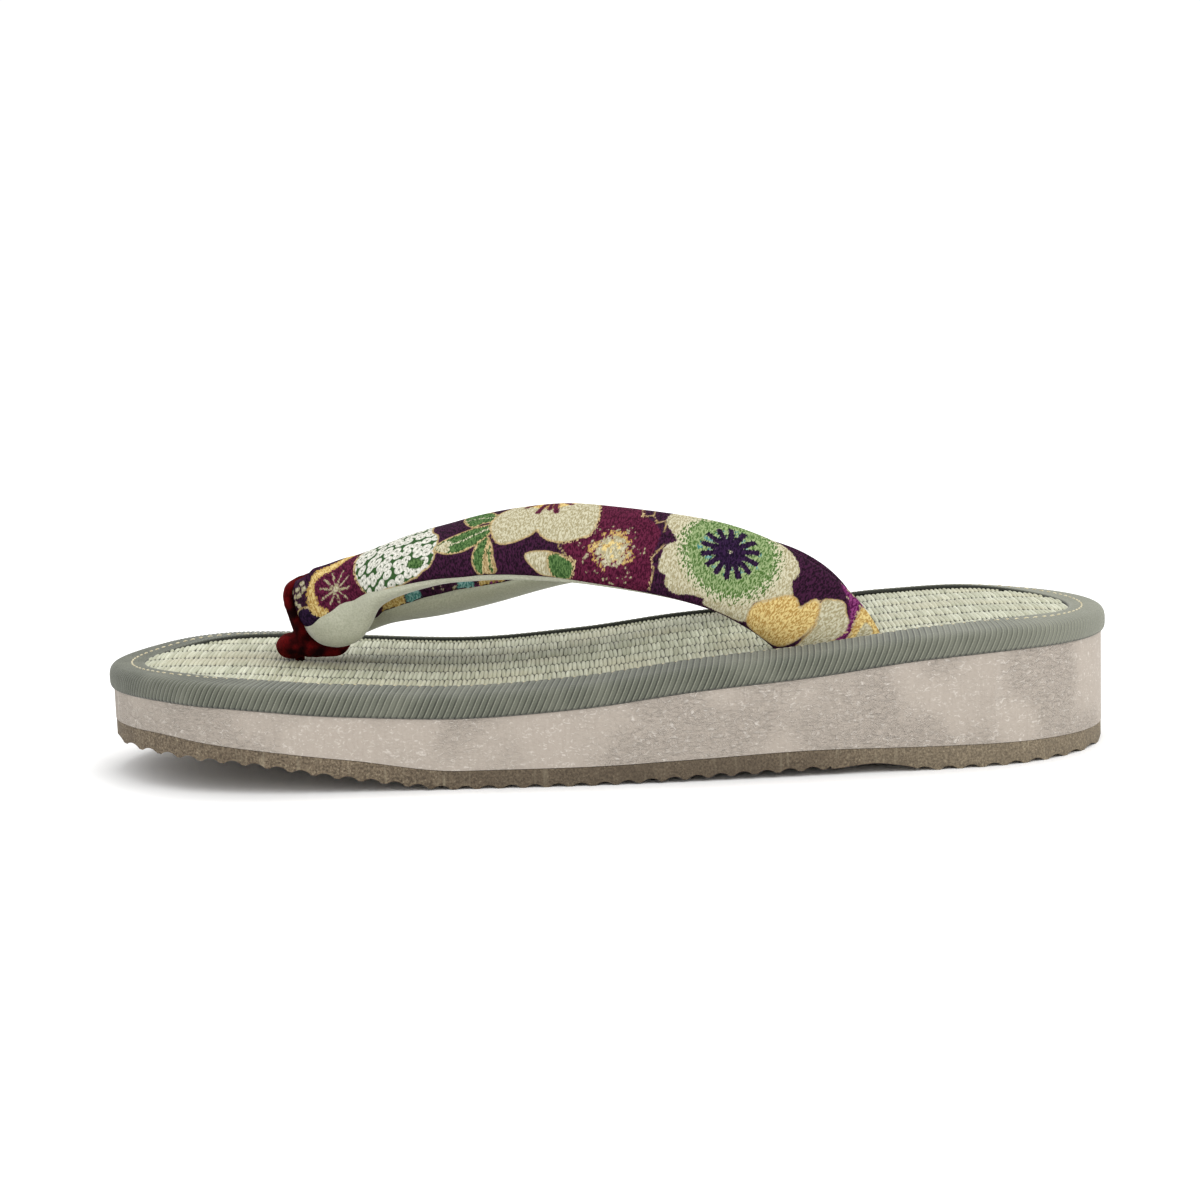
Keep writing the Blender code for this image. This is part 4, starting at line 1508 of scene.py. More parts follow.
        upper, lower = self.upper(length), self.seam(length)
        _, long_axis, short_axis = band.frames()
        angle = self.turns((upper[row], lower[row]), col / squares)
        puff = 1.0 - self.seam_dip * self.near_seam(angle, (upper[row], lower[row]))
        free = np.interp(np.abs(length), (*self.padded_from, *self.padded_to), (0, 1, 1, 0))
        full = self.plump * free[row] * np.clip(np.sin(angle), 0, 1) ** 0.5
        reach = ((band.wide[row] / 2 + full) * np.cos(angle) * puff)[:, None]
        swell = ((band.thick[row] / 2 + full) * np.sin(angle) * puff)[:, None]
        points = band.place[row] + long_axis[row] * reach + short_axis[row] * swell
        cloth = self.cloth_grid(band, (upper, lower), squares)
        v_metres = cloth[row, col]
        move_points(thing, points)
        write_cloth(thing, on_cloth)
        for ink, reach_of in CrepePrint(length[row], v_metres).fields().items():
            paint(thing, ink.value, reach_of)
        middles = np.array([sum(col[i] for i in face.vertices) / 4 for face in thing.data.polygons])
        lining = (middles > self.print_squares).astype(int)
        thing.data.materials.append(self.crepe.make())
        thing.data.materials.append(self.flannel.make())
        thing.data.polygons.foreach_set("material_index", lining)
        close_up(thing, holes=True)
        smooth_shading(thing, 60.0)
        return finish_piece(thing, ["strap"])

    def near_seam(self, angle: Array, seams: tuple[Array, Array]) -> Array:
        """1 on a seam, falling to 0 a little way from it.

        Args:
            angle: Turns round the section.
            seams: Turn of the upper and of the lower seam.

        Returns:
            How near a seam each turn is.
        """
        def dip(offset: Array) -> Array:
            """A narrow bell over the offset."""
            wrapped = (offset + math.pi) % (2 * math.pi) - math.pi
            return np.exp(-((wrapped / 0.10) ** 2))

        return np.maximum(dip(angle - seams[0]), dip(angle - seams[1]))

    def cloth_grid(self, band: Band, seams: tuple[Array, Array], squares: int) -> Array:
        """Metres round the section from its inner edge, for each row and column.

        Args:
            band: The strap's path.
            seams: Turn of the upper and of the lower seam at each row.
            squares: Squares round the section.

        Returns:
            Metres round the section.
        """

        def arc(angle: Array) -> Array:
            """Length round the section up to each turn.

            Args:
                angle: Turns round the section, a row for each row of the band.

            Returns:
                Lengths in metres.
            """
            x = band.wide[:, None] / 2 * np.cos(angle)
            y = band.thick[:, None] / 2 * np.sin(angle)
            step = np.hypot(np.diff(x, axis=1), np.diff(y, axis=1))
            return np.concatenate([np.zeros((len(angle), 1)), np.cumsum(step, axis=1)], axis=1)

        upper, lower = seams[0][:, None], seams[1][:, None]
        round_it = arc(self.turns((upper, lower), np.arange(squares + 1)[None, :] / squares))
        return round_it - arc(upper + (math.pi - upper) * np.linspace(0, 1, 25)[None, :])[:, -1:]

    def ends(self, side: Side, spare: float, up_to: float) -> Band:
        """One arm's last rows, from a height over the mat down, a little longer than the arm.

        Args:
            side: Which arm.
            spare: How much the section is grown on each side.
            up_to: Height over the mat, as a share of the strap's rise.

        Returns:
            The rows, from the top down.
        """
        band, _ = self.band(0.0017)
        over = band.place[:, 2] - self.last.mat_top(band.place[:, 0])
        rows = np.where((band.place[:, 1] * side.value > 0.5 * self.spread) & (over < up_to * self.rise))[0]
        part = band.take(rows if side is Side.FAR else rows[::-1])
        more = unit((part.place[-1] - part.place[-2])[None, :])[0] * self.past_end
        place = np.vstack([part.place, part.place[-1] + more])
        widen = lambda a: np.append(a, a[-1]) + 2 * spare  # noqa: E731
        return Band(place, widen(part.wide), widen(part.thick), np.append(part.tilt, part.tilt[-1]))

    def cutter(self, side: Side) -> Piece:
        """A slightly grown end of an arm, to cut its slot with.

        Args:
            side: Which arm.

        Returns:
            The cutter.
        """
        end = self.ends(side, self.slot_play, self.slot_high)
        if side is Side.NEAR:
            end = end.take(np.arange(len(end.wide))[::-1])
        rows, squares = len(end.wide), 28
        thing = add_cloth(f"slot_{side.name.lower()}", rows - 1, squares)
        row, col = squares_of(thing, rows - 1, squares)
        angle = col / squares * 2 * math.pi
        _, long_axis, short_axis = end.frames()
        reach = (end.wide[row] / 2 * np.cos(angle))[:, None]
        swell = (end.thick[row] / 2 * np.sin(angle))[:, None]
        move_points(thing, end.place[row] + long_axis[row] * reach + short_axis[row] * swell)
        close_up(thing, holes=True)
        return thing

    def covers(self, points: Array, spare: float) -> Array:
        """Whether each point lies in the strap or within the spare room round it.

        Args:
            points: Rows of x, y, z.
            spare: The room round the strap.

        Returns:
            True for each covered point.
        """
        inside = np.zeros(len(points), bool)
        for side in Side:
            end = self.ends(side, spare, 0.5)
            if side is Side.NEAR:
                end = end.take(np.arange(len(end.wide))[::-1])
            ahead, long_axis, short_axis = end.frames()
            for i in range(len(end.wide)):
                away = points - end.place[i]
                level = np.abs(away @ ahead[i]) < 0.0012
                share = (away @ long_axis[i] / (end.wide[i] / 2)) ** 2
                share += (away @ short_axis[i] / (end.thick[i] / 2)) ** 2
                inside |= level & (share < 1)
        return inside


# ---- the print ----

Outline = Sequence[Sequence[float]]


@dataclass(frozen=True)
class Cloth:
    """Points of the cloth in mm: u from the nose along the near arm, v down from the upper seam."""

    u: Array
    v: Array

    def away(self, at: Sequence[float]) -> tuple[Array, Array]:
        """Distance and direction of every point from a centre."""
        return np.hypot(self.u - at[0], self.v - at[1]), np.arctan2(self.v - at[1], self.u - at[0])

    def disc(self, at: Sequence[float], radius: float) -> Array:
        """Reach of a round, below 0 inside."""
        return self.away(at)[0] - radius

    def patch(self, corners: Outline, rounds: int = 2) -> Array:
        """Reach of a closed shape with softened corners, below 0 inside.

        Args:
            corners: Its corners in order.
            rounds: How often its corners are cut.

        Returns:
            The distance to its rim.
        """
        rim = np.array(corners, float)
        for _ in range(rounds):
            ahead = np.roll(rim, -1, axis=0)
            rim = np.stack([0.78 * rim + 0.22 * ahead, 0.22 * rim + 0.78 * ahead], axis=1).reshape(-1, 2)
        low, high = rim.min(axis=0) - 4, rim.max(axis=0) + 4
        near = (self.u > low[0]) & (self.u < high[0]) & (self.v > low[1]) & (self.v < high[1])
        u, v = self.u[near], self.v[near]
        best, inside = np.full(len(u), 99.0), np.zeros(len(u), bool)
        for (u0, v0), (u1, v1) in zip(rim, np.roll(rim, -1, axis=0)):
            du, dv = u1 - u0, v1 - v0
            t = np.clip(((u - u0) * du + (v - v0) * dv) / (du * du + dv * dv + 1e-12), 0, 1)
            best = np.minimum(best, np.hypot(u - u0 - t * du, v - v0 - t * dv))
            crossed = (v0 > v) != (v1 > v)
            inside ^= crossed & (u < u0 + (v - v0) * du / (dv if abs(dv) > 1e-9 else 1e-9))
        reach = np.full(len(self.u), 99.0)
        reach[near] = np.where(inside, -best, best)
        return reach

    def stroke(self, line: Outline, wide: float) -> Array:
        """Reach of a brush line through points.

        Args:
            line: The points in order.
            wide: The line's width.

        Returns:
            The distance to its rim, below 0 inside.
        """
        best = np.full(len(self.u), 99.0)
        for (u0, v0), (u1, v1) in zip(line, line[1:]):
            du, dv = u1 - u0, v1 - v0
            t = np.clip(((self.u - u0) * du + (self.v - v0) * dv) / (du * du + dv * dv), 0, 1)
            best = np.minimum(best, np.hypot(self.u - u0 - t * du, self.v - v0 - t * dv))
        return best - wide / 2

    def spokes(self, at: Sequence[float], radius: float, count: int, wide: float, core: float) -> Array:
        """Reach of a star of thin petals round a core.

        Args:
            at: Its centre.
            radius: Length of a petal from there.
            count: How many petals.
            wide: A petal's width.
            core: Radius of the core.

        Returns:
            The distance to its rim.
        """
        away, angle = self.away(at)
        fold = (angle + math.pi / count) % (2 * math.pi / count) - math.pi / count
        arm = np.maximum(np.abs(away * np.sin(fold)) - wide / 2, away * np.cos(fold) - radius)
        return np.minimum(arm, away - core)

    def specks(self, at: Sequence[float], ring: tuple[float, float], count: int, size: float) -> Array:
        """Reach of specks strewn in a ring, the same each run.

        Args:
            at: The ring's centre.
            ring: Its inner and outer radius.
            count: How many specks.
            size: Their width.

        Returns:
            The distance to the nearest speck's rim.
        """
        chance = np.random.default_rng(SEED + count)
        best = np.full(len(self.u), 99.0)
        for _ in range(count):
            away = math.sqrt(chance.uniform(ring[0] ** 2, ring[1] ** 2))
            angle = chance.uniform(0, 2 * math.pi)
            spot = (at[0] + away * math.cos(angle), at[1] + away * math.sin(angle))
            best = np.minimum(best, self.away(spot)[0] - size / 2 * chance.uniform(0.7, 1.4))
        return best


class CrepePrint:
    """The traditional flower print. Where two dyes meet, the one printed first runs on below the other."""

    under: float = 0.45

    def __init__(self, u: Array, v: Array) -> None:
        """Starts with bare plum cloth.

        Args:
            u: Metres from the nose, positive on the near arm.
            v: Metres down from the upper seam.
        """
        self.cloth = Cloth(u * 1000, v * 1000)
        self.reach = {ink: np.full(len(u), 99.0) for ink in Ink}

    def dye(self, ink: Ink, shape: Array, line: float = 0.0) -> None:
        """Prints a shape over what is there.

        Args:
            ink: Its dye.
            shape: Its reach.
            line: Width of the gold line round it.
        """
        if line:
            self.dye(Ink.GOLD, shape - line)
        order, own = list(Ink), shape
        for other in order:
            if order.index(other) > order.index(ink):
                own = np.minimum(own, np.maximum(shape - self.under, self.reach[other]))
                self.reach[other] = np.maximum(self.reach[other], -shape)
        self.reach[ink] = np.minimum(self.reach[ink], own)

    def fields(self) -> dict[Ink, Array]:
        """For each dye the distance in metres to where it ends, below 0 where it shows.

        Returns:
            The distances by dye.
        """
        self.near_front()
        self.near_middle()
        self.near_back()
        self.far_arm()
        return {ink: values / 1000 for ink, values in self.reach.items()}

    def near_front(self) -> None:
        """Near the nose: specks, the ringed maroon flower and the tie-dyed one."""
        c = self.cloth
        for spot in ((2.3, 4.7), (3.2, 3.2), (4.5, 2.3), (2.2, 6.2), (3.6, 4.6), (4.8, 3.7), (3, 6.9), (1.2, 3.4)):
            self.dye(Ink.CREAM, c.disc(spot, 0.58))
        self.dye(Ink.NIGHT, c.patch([
            (1.5, 8.6), (3.2, 7.7), (5.3, 8.2), (6.2, 9.6), (7.5, 12), (3, 13), (0.5, 11),
        ]), 0.4)
        arc = [(18.2, 1.6), (14.7, 3.1), (10.1, 2.8), (7.6, 3.2), (6.3, 4.4), (5.9, 6.5), (5.8, 9), (6.9, 11.2)]
        flower = [(17.8, 1.6), (15.3, 2.6), (12.2, 3.1), (8.8, 3.2), (6.4, 4.2), (6, 6.4), (6, 9.8), (10.6, 14.6)]
        self.dye(Ink.MAROON, c.patch([*flower, (17.4, 17.5), (18.4, 14.4), (17.6, 8.8), (18.2, 5.4)]))
        self.dye(Ink.OCHRE, c.stroke(arc, 1.8))
        self.dye(Ink.CREAM, c.spokes((11.5, 8.3), 3.9, 10, 0.36, 0.7))
        tied = [
            (17.2, 8.6), (18.3, 4.9), (20.5, 2.6), (26.8, 3.4), (30.9, 4.6), (34.9, 5), (35.3, 9.8), (37.4, 12.2),
            (37.4, 15.9), (36.5, 16.6), (37.2, 18.6), (35.8, 21.2), (34.1, 21.6), (32.3, 22.6), (31.3, 22.4),
            (27.2, 23), (22.5, 20.8), (18.3, 17.3), (17.3, 13.5), (17, 11.1),
        ]
        self.dye(Ink.CELLS, c.patch(tied, 1), 0.4)
        self.dye(Ink.GREEN, c.patch([(30.5, 17.5), (33.5, 18.5), (35.2, 19.6), (33.5, 21), (30.6, 20.2)]))

    def near_middle(self) -> None:
        """The spray of leaves, the cream flower, its bud, and the maroon flower with a gold heart."""
        c = self.cloth
        up = [
            (42.4, 6.4), (42.8, 3.4), (45, 2.4), (48.2, 4.2), (50.6, 8), (49.9, 9.4), (47.2, 9.4),
            (45.7, 10.8), (43.9, 9.6),
        ]
        along = [
            (36.7, 16.6), (39.1, 14.5), (42.5, 12.9), (45.8, 11.4), (50, 10.6), (49.6, 13.1), (47.1, 15.9),
            (43.8, 17.9), (40.7, 18.5), (38.5, 18),
        ]
        down = [
            (49.4, 14.4), (47.6, 15.6), (46.3, 18.3), (46, 21.1), (47.1, 23.6), (48.2, 23.2), (48.2, 20.2),
            (48.8, 17.4),
        ]
        beside = [
            (49.4, 14.8), (50.4, 16.5), (50.8, 19.8), (51.6, 23.1), (49.4, 23.8), (48.4, 23.4), (48.8, 20.2),
            (49, 17.4),
        ]
        for shape in (up, along, down):
            self.dye(Ink.GREEN, c.patch(shape), 0.42)
        self.dye(Ink.GOLD, c.patch(beside))
        self.dye(Ink.GREEN, c.stroke([(49.6, 17), (49.7, 20), (50.2, 22.8)], 0.7))
        self.dye(Ink.CREAM, c.patch([
            (36.9, 16.6), (39.1, 14.8), (41.2, 14.9), (40.2, 16.6), (41, 18.1), (38.5, 17.8),
        ]))
        for vein in ([(43, 7.4), (46, 7.2), (50.1, 7.9)], [(39.8, 16.4), (43.6, 15), (48.9, 12)]):
            self.dye(Ink.CREAM, c.stroke(vein, 0.3))
        flower = [
            (49.2, 10.4), (50.2, 13.9), (51.5, 16.4), (53.7, 16.4), (56.2, 15.4), (58.8, 13.9), (60, 12.1),
            (61.2, 14.1), (63.6, 15.3), (67, 15.2), (69.6, 13.9), (71.9, 12.8), (72.8, 8.4), (72.2, 4.8),
            (70.8, 0.5), (69, -2), (57, -2), (53.8, 3.2), (50.9, 6.3),
        ]
        self.dye(Ink.MAROON, c.patch([
            (66, 24.5), (69, 20), (65, 15), (70, 10), (72, 5), (72.5, -1), (81.5, -1), (82.3, 5.2), (85.3, 7),
            (87.3, 9.5), (86.1, 15.9), (87, 18.3), (86.8, 24.5),
        ]))
        self.dye(Ink.CREAM, c.patch(flower), 0.4)
        self.dye(Ink.OCHRE, c.disc((61.4, -0.6), 6.2))
        self.dye(Ink.CREAM, c.disc((66.8, 7.2), 3.4))
        for tip in ((56.4, 4.4), (59.4, 7.2), (61.7, 5.9), (63.4, 7), (65.9, 3.4)):
            self.dye(Ink.MAROON, c.stroke([(61.8, -0.8), tip], 1.15))
        self.dye(Ink.CREAM, c.patch([
            (57.6, 19), (59.5, 18.2), (63.4, 17.8), (66.4, 19), (66, 23.2), (61.9, 23.2), (59.3, 21.2),
        ]), 0.3)
        self.dye(Ink.GREEN, c.patch([
            (63, 18.6), (65.7, 18.2), (67.9, 19.4), (69.5, 20), (68.9, 23.6), (65.2, 23.8), (63.7, 22),
        ]), 0.35)
        self.dye(Ink.GOLD, c.stroke([(64.9, 15.3), (65.6, 16.8), (67.1, 18.1), (69.7, 19.3)], 0.35))
        self.dye(Ink.OCHRE, c.disc((77.4, 15.6), 2.6))
        self.dye(Ink.OCHRE, c.specks((77.4, 15.6), (2.2, 5), 62, 0.80))
        self.dye(Ink.CREAM, c.specks((77.4, 15.6), (0, 3.4), 70, 0.85))
        self.dye(Ink.CREAM, c.specks((77.4, 15.6), (3.6, 7.6), 58, 0.45))
        for line in (
            [(81.2, 0.5), (82, 5.5), (84.2, 4.5), (85.6, 6.8), (87.2, 5.7), (87.7, 9.1)],
            [(84.2, 4.5), (84, 1)],
            [(88.4, 12), (86.1, 15.9), (87.2, 18.3), (86.8, 22.9)],
        ):
            self.dye(Ink.GOLD, c.stroke(line, 0.4))

    def near_back(self) -> None:
        """The large cream flower with its dark star, and the petals by the sole."""
        c = self.cloth
        flower = [
            (88.4, 12), (90.6, 10.9), (90.4, 9.9), (88.6, 8.3), (87, 5.8), (87.6, 2.4), (91, -1.2), (98, -0.9),
            (105, -0.3), (110.2, 0.9), (114.3, 3.2), (116.4, 5.9), (115.5, 8.8), (117.3, 10.8), (116.8, 12.1),
            (113.8, 14.9), (111.3, 16.5), (110.7, 17.8), (111.4, 19.4), (111, 22.4), (107.8, 23), (103.2, 23.2),
            (99.3, 22.7), (100.2, 21.2), (96.2, 21.5), (92.3, 22.6), (89.9, 20.8), (90.1, 18.8), (88, 18.3),
            (87.9, 15.8),
        ]
        petal = [
            (110.8, 17.6), (113.9, 14.6), (116.5, 11.6), (118.3, 11), (119.6, 12.3), (120.3, 12.1), (120.8, 9.9),
            (121.9, 7.9), (123.8, 10.7), (124.8, 13.7), (124.2, 18.4), (122.6, 21.5), (120.4, 22.8),
            (115.9, 23.1), (111.4, 22.1),
        ]
        back = [
            (122.4, 7.7), (124.4, 5.6), (125.8, 4.3), (127.1, 6), (128.8, 6.3), (129.9, 8.4), (129.8, 12.1),
            (129, 18), (128.6, 25), (125.2, 25), (125.6, 18), (125.3, 13), (123.9, 10.3),
        ]
        self.dye(Ink.CREAM, c.patch(flower))
        self.dye(Ink.MOTTLE, c.disc((101.9, 9.6), 10.2))
        self.dye(Ink.TEAL, c.specks((101.9, 9.6), (2.6, 5.6), 30, 0.8))
        self.dye(Ink.TEAL, c.specks((101.9, 9.6), (4, 6.4), 16, 0.7))
        self.dye(Ink.NIGHT, c.spokes((101.9, 9.6), 6.2, 14, 1.25, 2.8))
        self.dye(Ink.CREAM, c.disc((101.9, 9.6), 0.4))
        self.dye(Ink.OCHRE, c.patch(petal), 0.3)
        self.dye(Ink.CREAM, c.patch(back), 0.3)
        self.dye(Ink.MAGENTA, c.patch([
            (122.6, 1), (124.7, -3), (129, -4), (130.4, 0.2), (128.3, 2), (129.2, 5), (131, 8.2),
            (131, 14), (130, 12), (129.9, 8.4), (128, 5.4), (126.2, 3.6),
        ]))
        self.dye(Ink.CREAM, c.specks((126.4, 0.2), (0, 3.2), 18, 0.6))
        self.dye(Ink.OCHRE, c.patch([
            (128.8, 3.9), (128.6, 1.4), (130, 0.2), (133, 1), (140, 3), (140, 10), (131.8, 11),
            (131, 8),
        ]), 0.3)
        self.dye(Ink.CREAM, c.patch([(130.2, 3.2), (132.5, 2.4), (134, 5), (133.5, 8.5), (131.8, 7.6)]))

    def far_arm(self) -> None:
        """The far arm: the strip that shows under the near one, and flowers like its neighbour's behind it."""
        c = self.cloth
        for first, last, ink in (
            (-22.6, -17.6, Ink.OCHRE), (-26, -22.6, Ink.TEAL), (-38.8, -34.6, Ink.TEAL), (-46, -39.6, Ink.OCHRE),
        ):
            self.dye(ink, c.patch([(first, -9), (last, -9), (last, 2.6), (first, 3.4)]))
        self.dye(Ink.CREAM, c.specks((-31, -1.5), (0, 4.2), 26, 0.55))
        self.dye(Ink.MAGENTA, c.specks((-43, -1), (0, 4), 20, 0.7))
        flowers = (
            ((-34, 15), 7.6, Ink.MAROON), ((-62, 12), 10.5, Ink.MOTTLE), ((-88, 11), 9, Ink.OCHRE),
            ((-113, 13), 9.5, Ink.MOTTLE),
        )
        for at, size, heart in flowers:
            away, angle = c.away(at)
            self.dye(Ink.CREAM, away - size * (0.80 + 0.20 * np.abs(np.cos(2.5 * angle)) ** 0.6), 0.4)
            self.dye(heart, away - size * 0.55)
            self.dye(Ink.NIGHT, c.spokes(at, size * 0.42, 13, 0.7, size * 0.16))
        for start, end in (((-47, 8), (-52, 19)), ((-73, 18), (-79, 7)), ((-98, 20), (-103, 9)), ((-22, 9), (-25, 19))):
            middle = ((start[0] + end[0]) / 2 + 1.9, (start[1] + end[1]) / 2 + 1.4)
            other = ((start[0] + end[0]) / 2 - 1.9, (start[1] + end[1]) / 2 - 1.4)
            self.dye(Ink.GREEN, c.patch([start, middle, end, other]), 0.4)
            self.dye(Ink.CREAM, c.stroke([start, end], 0.3))


# ---- mat ----


@dataclass
class WovenMat:
    """Footbed of woven rush: a backing and rows of short strands that lie over it, each row half a strand on."""

    last: Last
    strap: Strap
    row_wide: float = 0.0107
    pitch: float = 0.00100
    strand_high: float = 0.00060
    first_row: float = 0.0010
    finish: RushStraw = field(default_factory=RushStraw)
    backing: MatBacking = field(default_factory=MatBacking)

    def strand(self) -> Piece:
        """Models one strand, a metre by a metre: a grain with a rounded back and narrow ends.

        Returns:
            The strand.
        """
        thing = add_cloth("strand", 4, 6)
        flat = points_of(thing)
        x, y = flat[:, 0], flat[:, 1]
        taper = np.sqrt(np.maximum(0.0, 1 - (2 * np.abs(y)) ** 4.0))
        back = (0.22 + 0.78 * np.sqrt(np.maximum(0.0, 1 - (2 * x) ** 2))) * (0.20 + 0.80 * taper)
        move_points(thing, np.stack([x * (0.62 + 0.38 * taper), y, back], axis=1))
        close_up(thing, holes=True)
        return thing

    def base(self, cutters: Sequence[Piece]) -> Piece:
        """Models the backing, its rim tucked into the braid.

        Args:
            cutters: What is taken out of it.

        Returns:
            The backing.
        """
        inset = self.last.braid_wall + 0.0003
        tip = self.last.length / 2 - inset
        places = -tip * np.cos(np.linspace(0, math.pi, 121))
        low = lambda x: self.last.braid_foot(x) + 3 * GLUE_GAP  # noqa: E731
        high = lambda x: self.last.mat_face(x) - self.strand_high * 0.95  # noqa: E731
        thing = Slab(self.last, "mat_backing", inset).build(places, 16, low, high, soft=False)
        for cutter in cutters:
            apply_modifier(thing, "BOOLEAN", operation="DIFFERENCE", solver="EXACT", object=cutter)
        thing.data.materials.append(self.backing.make())
        return thing

    def spans(self, x: float, low: float, high: float, hole: Callable) -> list[tuple[float, float]]:
        """Parts of a strand's place from low to high that are free of the edge and the holes.

        Args:
            x: Where the strand lies.
            low: Its lower end in y.
            high: Its upper end in y.
            hole: Tells which of some points lie in a hole.

        Returns:
            The free stretches.
        """
        half = float(self.last.half_width_at(np.array([x]), self.last.braid_wide - 0.0012)[0])
        ys = np.arange(max(low, -half), min(high, half), 0.0002)
        if len(ys) < 6:
            return []
        level = float(self.last.mat_face(np.array([x]))[0])
        free = ~hole(np.stack([np.full(len(ys), x), ys, np.full(len(ys), level)], axis=1))
        edges = np.flatnonzero(np.diff(np.concatenate([[0], free.astype(int), [0]])))
        runs = [(ys[a], ys[b - 1]) for a, b in zip(edges[0::2], edges[1::2])]
        return [run for run in runs if run[1] - run[0] > 0.0012]

    def build(self, cutters: Sequence[Piece], hole: Callable) -> Piece:
        """Models and dresses the mat.

        Args:
            cutters: What is taken out of its backing.
            hole: Tells which of some points lie in a hole.

        Returns:
            The mat.
        """
        chance = np.random.default_rng(SEED)
        frames = []
        reach = self.last.length / 2 - self.last.braid_wide
        rows = math.ceil(2 * self.last.half_width / self.row_wide) + 2
        for number in range(-rows // 2, rows // 2 + 1):
            low = self.first_row + number * self.row_wide
            start = -reach + (number % 2) * self.pitch / 2
            for x in np.arange(start, reach, self.pitch):
                x += chance.uniform(-0.06, 0.06) * self.pitch
                for bottom, top in self.spans(x, low, low + self.row_wide, hole):
                    frames.append(self.strand_frame(x, bottom, top, chance))
        strands = scatter(self.strand(), frames, "mat_strands")
        paint(strands, "crown", self.crown(strands))
        strands.data.materials.append(self.finish.make())
        backing = self.base(cutters)
        return finish_piece(name_piece(join([backing, strands]), "woven_mat"), ["footbed"])

    def crown(self, strands: Piece) -> Array:
        """Height of each point over its strand's foot, from 0 to 1.

        Args:
            strands: The joined strands.

        Returns:
            The heights.
        """
        points = points_of(strands)
        level = self.last.mat_face(points[:, 0]) - self.strand_high
        return np.clip((points[:, 2] - level) / self.strand_high, 0, 1)

    def strand_frame(self, x: float, low: float, high: float, chance: np.random.Generator) -> Array:
        """Matrix that puts the unit strand over a stretch from low to high.

        Args:
            x: Where the strand lies.
            low: Its lower end in y.
            high: Its upper end in y.
            chance: The mat's random draws.

        Returns:
            The matrix, 4 by 4.
        """
        run = high - low
        wide = self.pitch * chance.uniform(0.97, 1.06)
        tall = self.strand_high * chance.uniform(0.85, 1.1)
        level = float(self.last.mat_face(np.array([x]))[0]) - self.strand_high
        slope = float(self.last.mat_face(np.array([x + 0.001]))[0] - self.last.mat_face(np.array([x]))[0]) / 0.001
        lean = chance.uniform(-0.03, 0.03)
        return np.array([
            [wide, lean * run, 0.0, x],
            [0.0, run, 0.0, (low + high) / 2],
            [wide * slope, 0.0, tall, level],
            [0.0, 0.0, 0.0, 1.0],
        ])


# ---- toe loop ----


